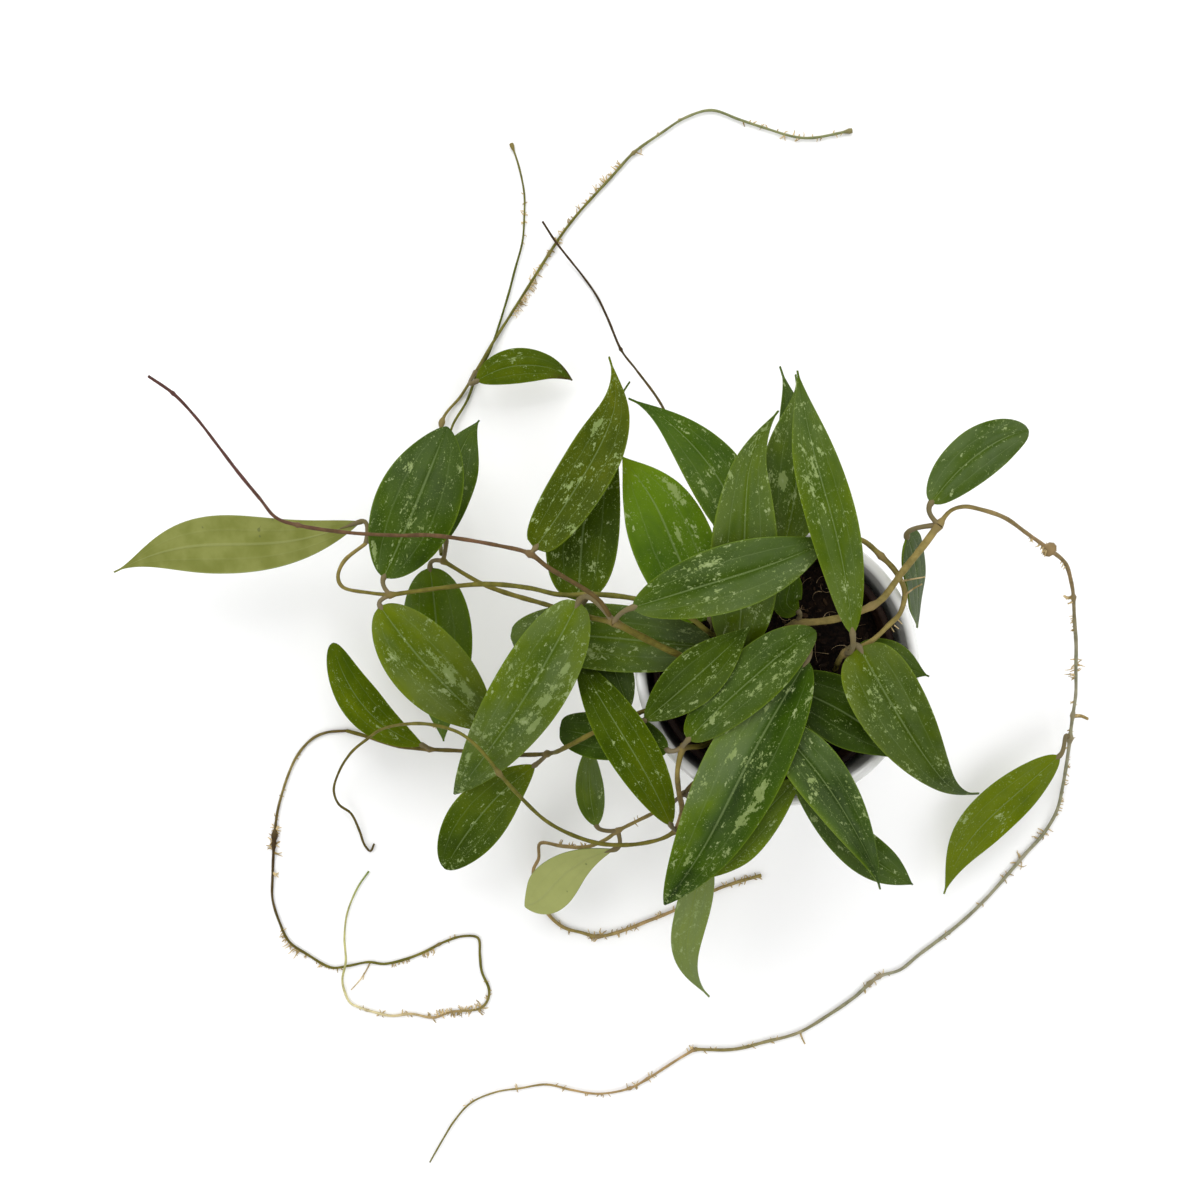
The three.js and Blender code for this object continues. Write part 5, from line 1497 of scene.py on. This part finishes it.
def stem_strand(radius, start, end, points, nodes, chance):
    """The samples of one stretch, each with its radius in millimetres."""
    line = smooth_line(points, STEM_SPACING)
    phase = chance.uniform(0, 6.28)
    strand = []
    for i, point in enumerate(line):
        share = i / len(line)
        slim = radius * (start + (end - start) * share)
        waver = SLOW_WAVER * math.sin(i * 0.16 + phase) + QUICK_WAVER * math.sin(i * 0.71)
        thick = slim * (1 + waver + chance.uniform(-ROUGHNESS_OF_STEM, ROUGHNESS_OF_STEM))
        for x, y, z, full in nodes:
            away = (point - Vector((x, y, z))).length
            thick += max(0, full * NODE_FULLNESS - slim) * math.exp(-((away / (NODE_REACH * full)) ** 2))
        strand.append((point * MM, thick))
    return strand


def colours_along(points, strand, names):
    """The colour of each point: the row of colour names is spread evenly along the strand."""
    row = np.array([SKIN[name] for name in names.split()])
    line = np.array([tuple(place) for place, _ in strand])
    nearest = np.empty(len(points), int)
    for start in range(0, len(points), BLOCK):
        block = points[start:start + BLOCK]
        nearest[start:start + BLOCK] = ((block[:, None] - line[None]) ** 2).sum(2).argmin(1)
    share = nearest / max(1, len(line) - 1) * (len(row) - 1)
    low = np.minimum(share.astype(int), len(row) - 2)
    part = (share - low)[:, None]
    return row[low] * (1 - part) + row[low + 1] * part


print("stems sampled every", STEM_SPACING, "mm")


# %% [markdown]
# ### Leaf stalks and roots
#
# A stalk leaves the stem, bends, and runs into the underside of its blade in line with the midrib, thicker
# at both ends. The roots are short and ragged: they come in tufts on the runners, and each curls a little
# towards the table.


# %% Stalks
STALK_RADIUS = 1.08
STALK_SPACING = 1.2
STALK_END_SWELL = 0.4
PULVINUS = ((0.012, 1.3, 0.5), (0.03, 0.95, 0.75), (0.055, 0.55, 0.7), (0.08, 0.2, 0.5))


def stalk_strand(name, leaves_stem_at, bow=(0, 0, 0)):
    """A stalk, and its last bit under the blade: shares of the blade's length, radii and drops below it."""
    leaf = LEAVES[name]
    midrib = Midrib(leaf)
    along = Vector(midrib.tangent(np.array(0.0)))
    start = Vector(leaves_stem_at)
    end = Vector(leaf.base) - along * GAP
    before = end - along * 0.4 * (start - end).length
    after = start.lerp(before, 0.4) + Vector(bow)
    strand = []
    steps = max(8, round((end - start).length / STALK_SPACING))
    for i in range(steps + 1):
        t = i / steps
        point = (
            start * (1 - t) ** 3
            + after * 3 * t * (1 - t) ** 2
            + before * 3 * t ** 2 * (1 - t)
            + end * t ** 3
        )
        strand.append((point * MM, STALK_RADIUS + STALK_END_SWELL * abs(2 * t - 1) ** 3))
    side = 1 if leaf.roll == 180 else -1
    for t, radius, drop in PULVINUS:
        point = Vector(midrib.at(np.array(t))) + Vector(midrib.rise) * side * drop * MM
        strand.append((point, radius))
    return strand


print("the stalk of leaf_top has", len(stalk_strand(*STALKS["vine_west"][0])), "samples")


# %% Roots
MORE_ROOTS = 1.1
FINE_TUFT = 12
FINE_ROOT_RADII = (0.14, 0.22)
ROOT_RADII = (0.26, 0.46)
ROOT_POINTS = 6
LOWEST_ROOT = 0.3
SPUR_SPACING = 1.0
SPUR_THINNING = 0.35


def tuft_strands(node, tuft, chance):
    across, down, count, longest, side = tuft
    line, near, thick = on_stem(node, across, down)
    spread = 1 + count // 6
    roots = []
    for _ in range(math.ceil(count * MORE_ROOTS)):
        k = min(max(near + chance.randint(-spread, spread), 0), len(line) - 2)
        ahead = (line[k + 1] - line[k]).normalized()
        left = Vector((0, 0, 1)).cross(ahead).normalized()
        turn = side if side else chance.choice((-1, 1))
        heading = left * turn + ahead * chance.uniform(-0.8, 0.8) + Vector((0, 0, chance.uniform(-0.5, 0.5)))
        heading.normalize()
        length = longest * chance.uniform(0.4, 1.2)
        radius = chance.uniform(*(FINE_ROOT_RADII if count > FINE_TUFT else ROOT_RADII))
        point = line[k].lerp(line[k + 1], chance.random()) + heading * thick * 0.4
        length += thick * 0.5
        curl = chance.uniform(-0.5, 0.5)
        strand = []
        for j in range(ROOT_POINTS):
            low = Vector((point.x, point.y, max(point.z, LOWEST_ROOT)))
            strand.append((low * MM, radius * (1.15 - 0.14 * j)))
            point = point + heading * length / (ROOT_POINTS - 1)
            wander = (chance.uniform(-0.3, 0.3), chance.uniform(-0.3, 0.3), chance.uniform(-0.25, 0.05))
            heading = heading + ahead * curl * 0.45 + Vector(wander)
            heading.normalize()
        roots.append(strand)
    return roots


def spur_strand(radius, points):
    line = smooth_line([under_pixel(*point) for point in points], SPUR_SPACING)
    return [(p * MM, radius * (1 - SPUR_THINNING * i / len(line))) for i, p in enumerate(line)]


print(sum(tuft[2] for tufts in ROOT_TUFTS.values() for tuft in tufts), "roots, and a tenth more")


# %% [markdown]
# ### The finish of a stem
#
# Each point of a vine stores its colour, how near it is to a node, whether it is a stalk, and whether it is a
# root. The material mottles the colour, fades it to the pinkish tan of a node, gives stalks their olive tan
# and roots their pale straw, and roughens all of it with fine warts.


# %% Stem paint
STALK_TAN = ((0.085, 0.066, 0.012), (0.195, 0.146, 0.045))
NODE_TAN = ((0.120, 0.085, 0.032), (0.330, 0.235, 0.115))
ROOT_STRAW = ((0.240, 0.170, 0.058), (0.640, 0.500, 0.270))


def stem_paint():
    paint = Paint("stem_skin", IOR=1.45, Specular_IOR_Level=0.10)
    near, stalk, root = paint.parts(paint.stored("bark"))
    own = paint.stored("skin")
    where = paint.object_place()
    mottle = paint.noise(where, 260.0, 5.0, 0.65)
    slow = paint.noise(where, 60.0, 2.0)
    warts = paint.noise(where, 1100.0, 2.0)
    skin = paint.mix(mottle.step(0.35, 0.65) * 0.75, own, paint.stretched(own, (0.55, 0.56, 0.55)))
    skin = paint.mix(slow.step(0.5, 0.7) * 0.45, skin, paint.stretched(own, (1.55, 1.45, 1.7)))
    stalked = paint.mix(stalk * 0.8, skin, paint.mix(mottle, *STALK_TAN))
    _, light, _ = paint.parts(own)
    at_node = near * 0.75 * light.step(0.035, 0.075)
    noded = paint.mix(at_node, stalked, paint.mix(mottle, *NODE_TAN))
    paint.finish(
        Base_Color=paint.mix(root, noded, paint.mix(mottle.step(0.35, 0.65), *ROOT_STRAW)),
        Roughness=0.50 + mottle * 0.15 + root * 0.25,
        Normal=paint.bump(mottle * 0.7 + warts * 0.3, 0.6, 0.0005),
    )
    return paint


stem_skin = stem_paint()
print("stem skin", stem_skin.size(), "nodes")


# %% Making a vine
SEED = 31
NODE_STAIN_REACH = 1.3
PIECE_NAMES = (("vine_", "grown_"), ("shoot_", "young_"), ("crown_", "old_"))


def stained(thing, nodes, stalk, root, colour=None):
    """Stores on each point its colour, how near a node it is, and whether it is a stalk or a root."""
    count = len(thing.data.vertices)
    flat = np.empty(count * 3)
    thing.data.vertices.foreach_get("co", flat)
    points = flat.reshape(-1, 3)
    near = np.zeros(count)
    for x, y, z, radius in nodes:
        away = np.linalg.norm(points - np.array((x, y, z)) * MM, axis=1)
        near = np.maximum(near, np.exp(-((away / (NODE_STAIN_REACH * radius * MM)) ** 2)))
    store(thing.data, "bark", (near, np.full(count, stalk), np.full(count, root)))
    skin = colours_along(points, *colour) if colour else np.full((count, 3), 0.2)
    store(thing.data, "skin", skin.T)
    return thing


def grown_vine(node, number):
    chance = random.Random(SEED + number)
    nodes = list(NODES[node])
    for across, down, radius in LUMPS.get(node, []):
        line, near, _ = on_stem(node, across, down)
        nodes.append((*line[near], radius))
    parts = []
    for radius, start, end, colours, points in STRETCHES[node]:
        strand = stem_strand(radius, start, end, points, nodes, chance)
        parts.append(stained(strands(node, [strand], 3), nodes, 0.0, 0.0, (strand, colours)))
    stalks = [stalk_strand(*stalk) for stalk in STALKS[node]]
    parts.append(stained(strands(node, stalks, 3), nodes, 1.0, 0.0))
    roots = [spur_strand(*spur) for spur in SPURS.get(node, [])]
    for tuft in ROOT_TUFTS.get(node, []):
        roots += tuft_strands(node, tuft, chance)
    if roots:
        parts.append(stained(strands(node, roots, 0), [], 0.0, 1.0))
    name = node
    for old, new in PIECE_NAMES:
        name = name.replace(old, new)
    piece = joined(parts, name)
    piece.data.materials.clear()
    piece.data.materials.append(stem_skin.material)
    stand_for(piece, node)
    return piece


for number, node in enumerate(STRETCHES):
    print(node, faces_of(grown_vine(node, number)), "faces")

# %% [markdown]
# ## Done
#
# At the end nothing is left selected.

# %% Nothing left selected
start_clean()
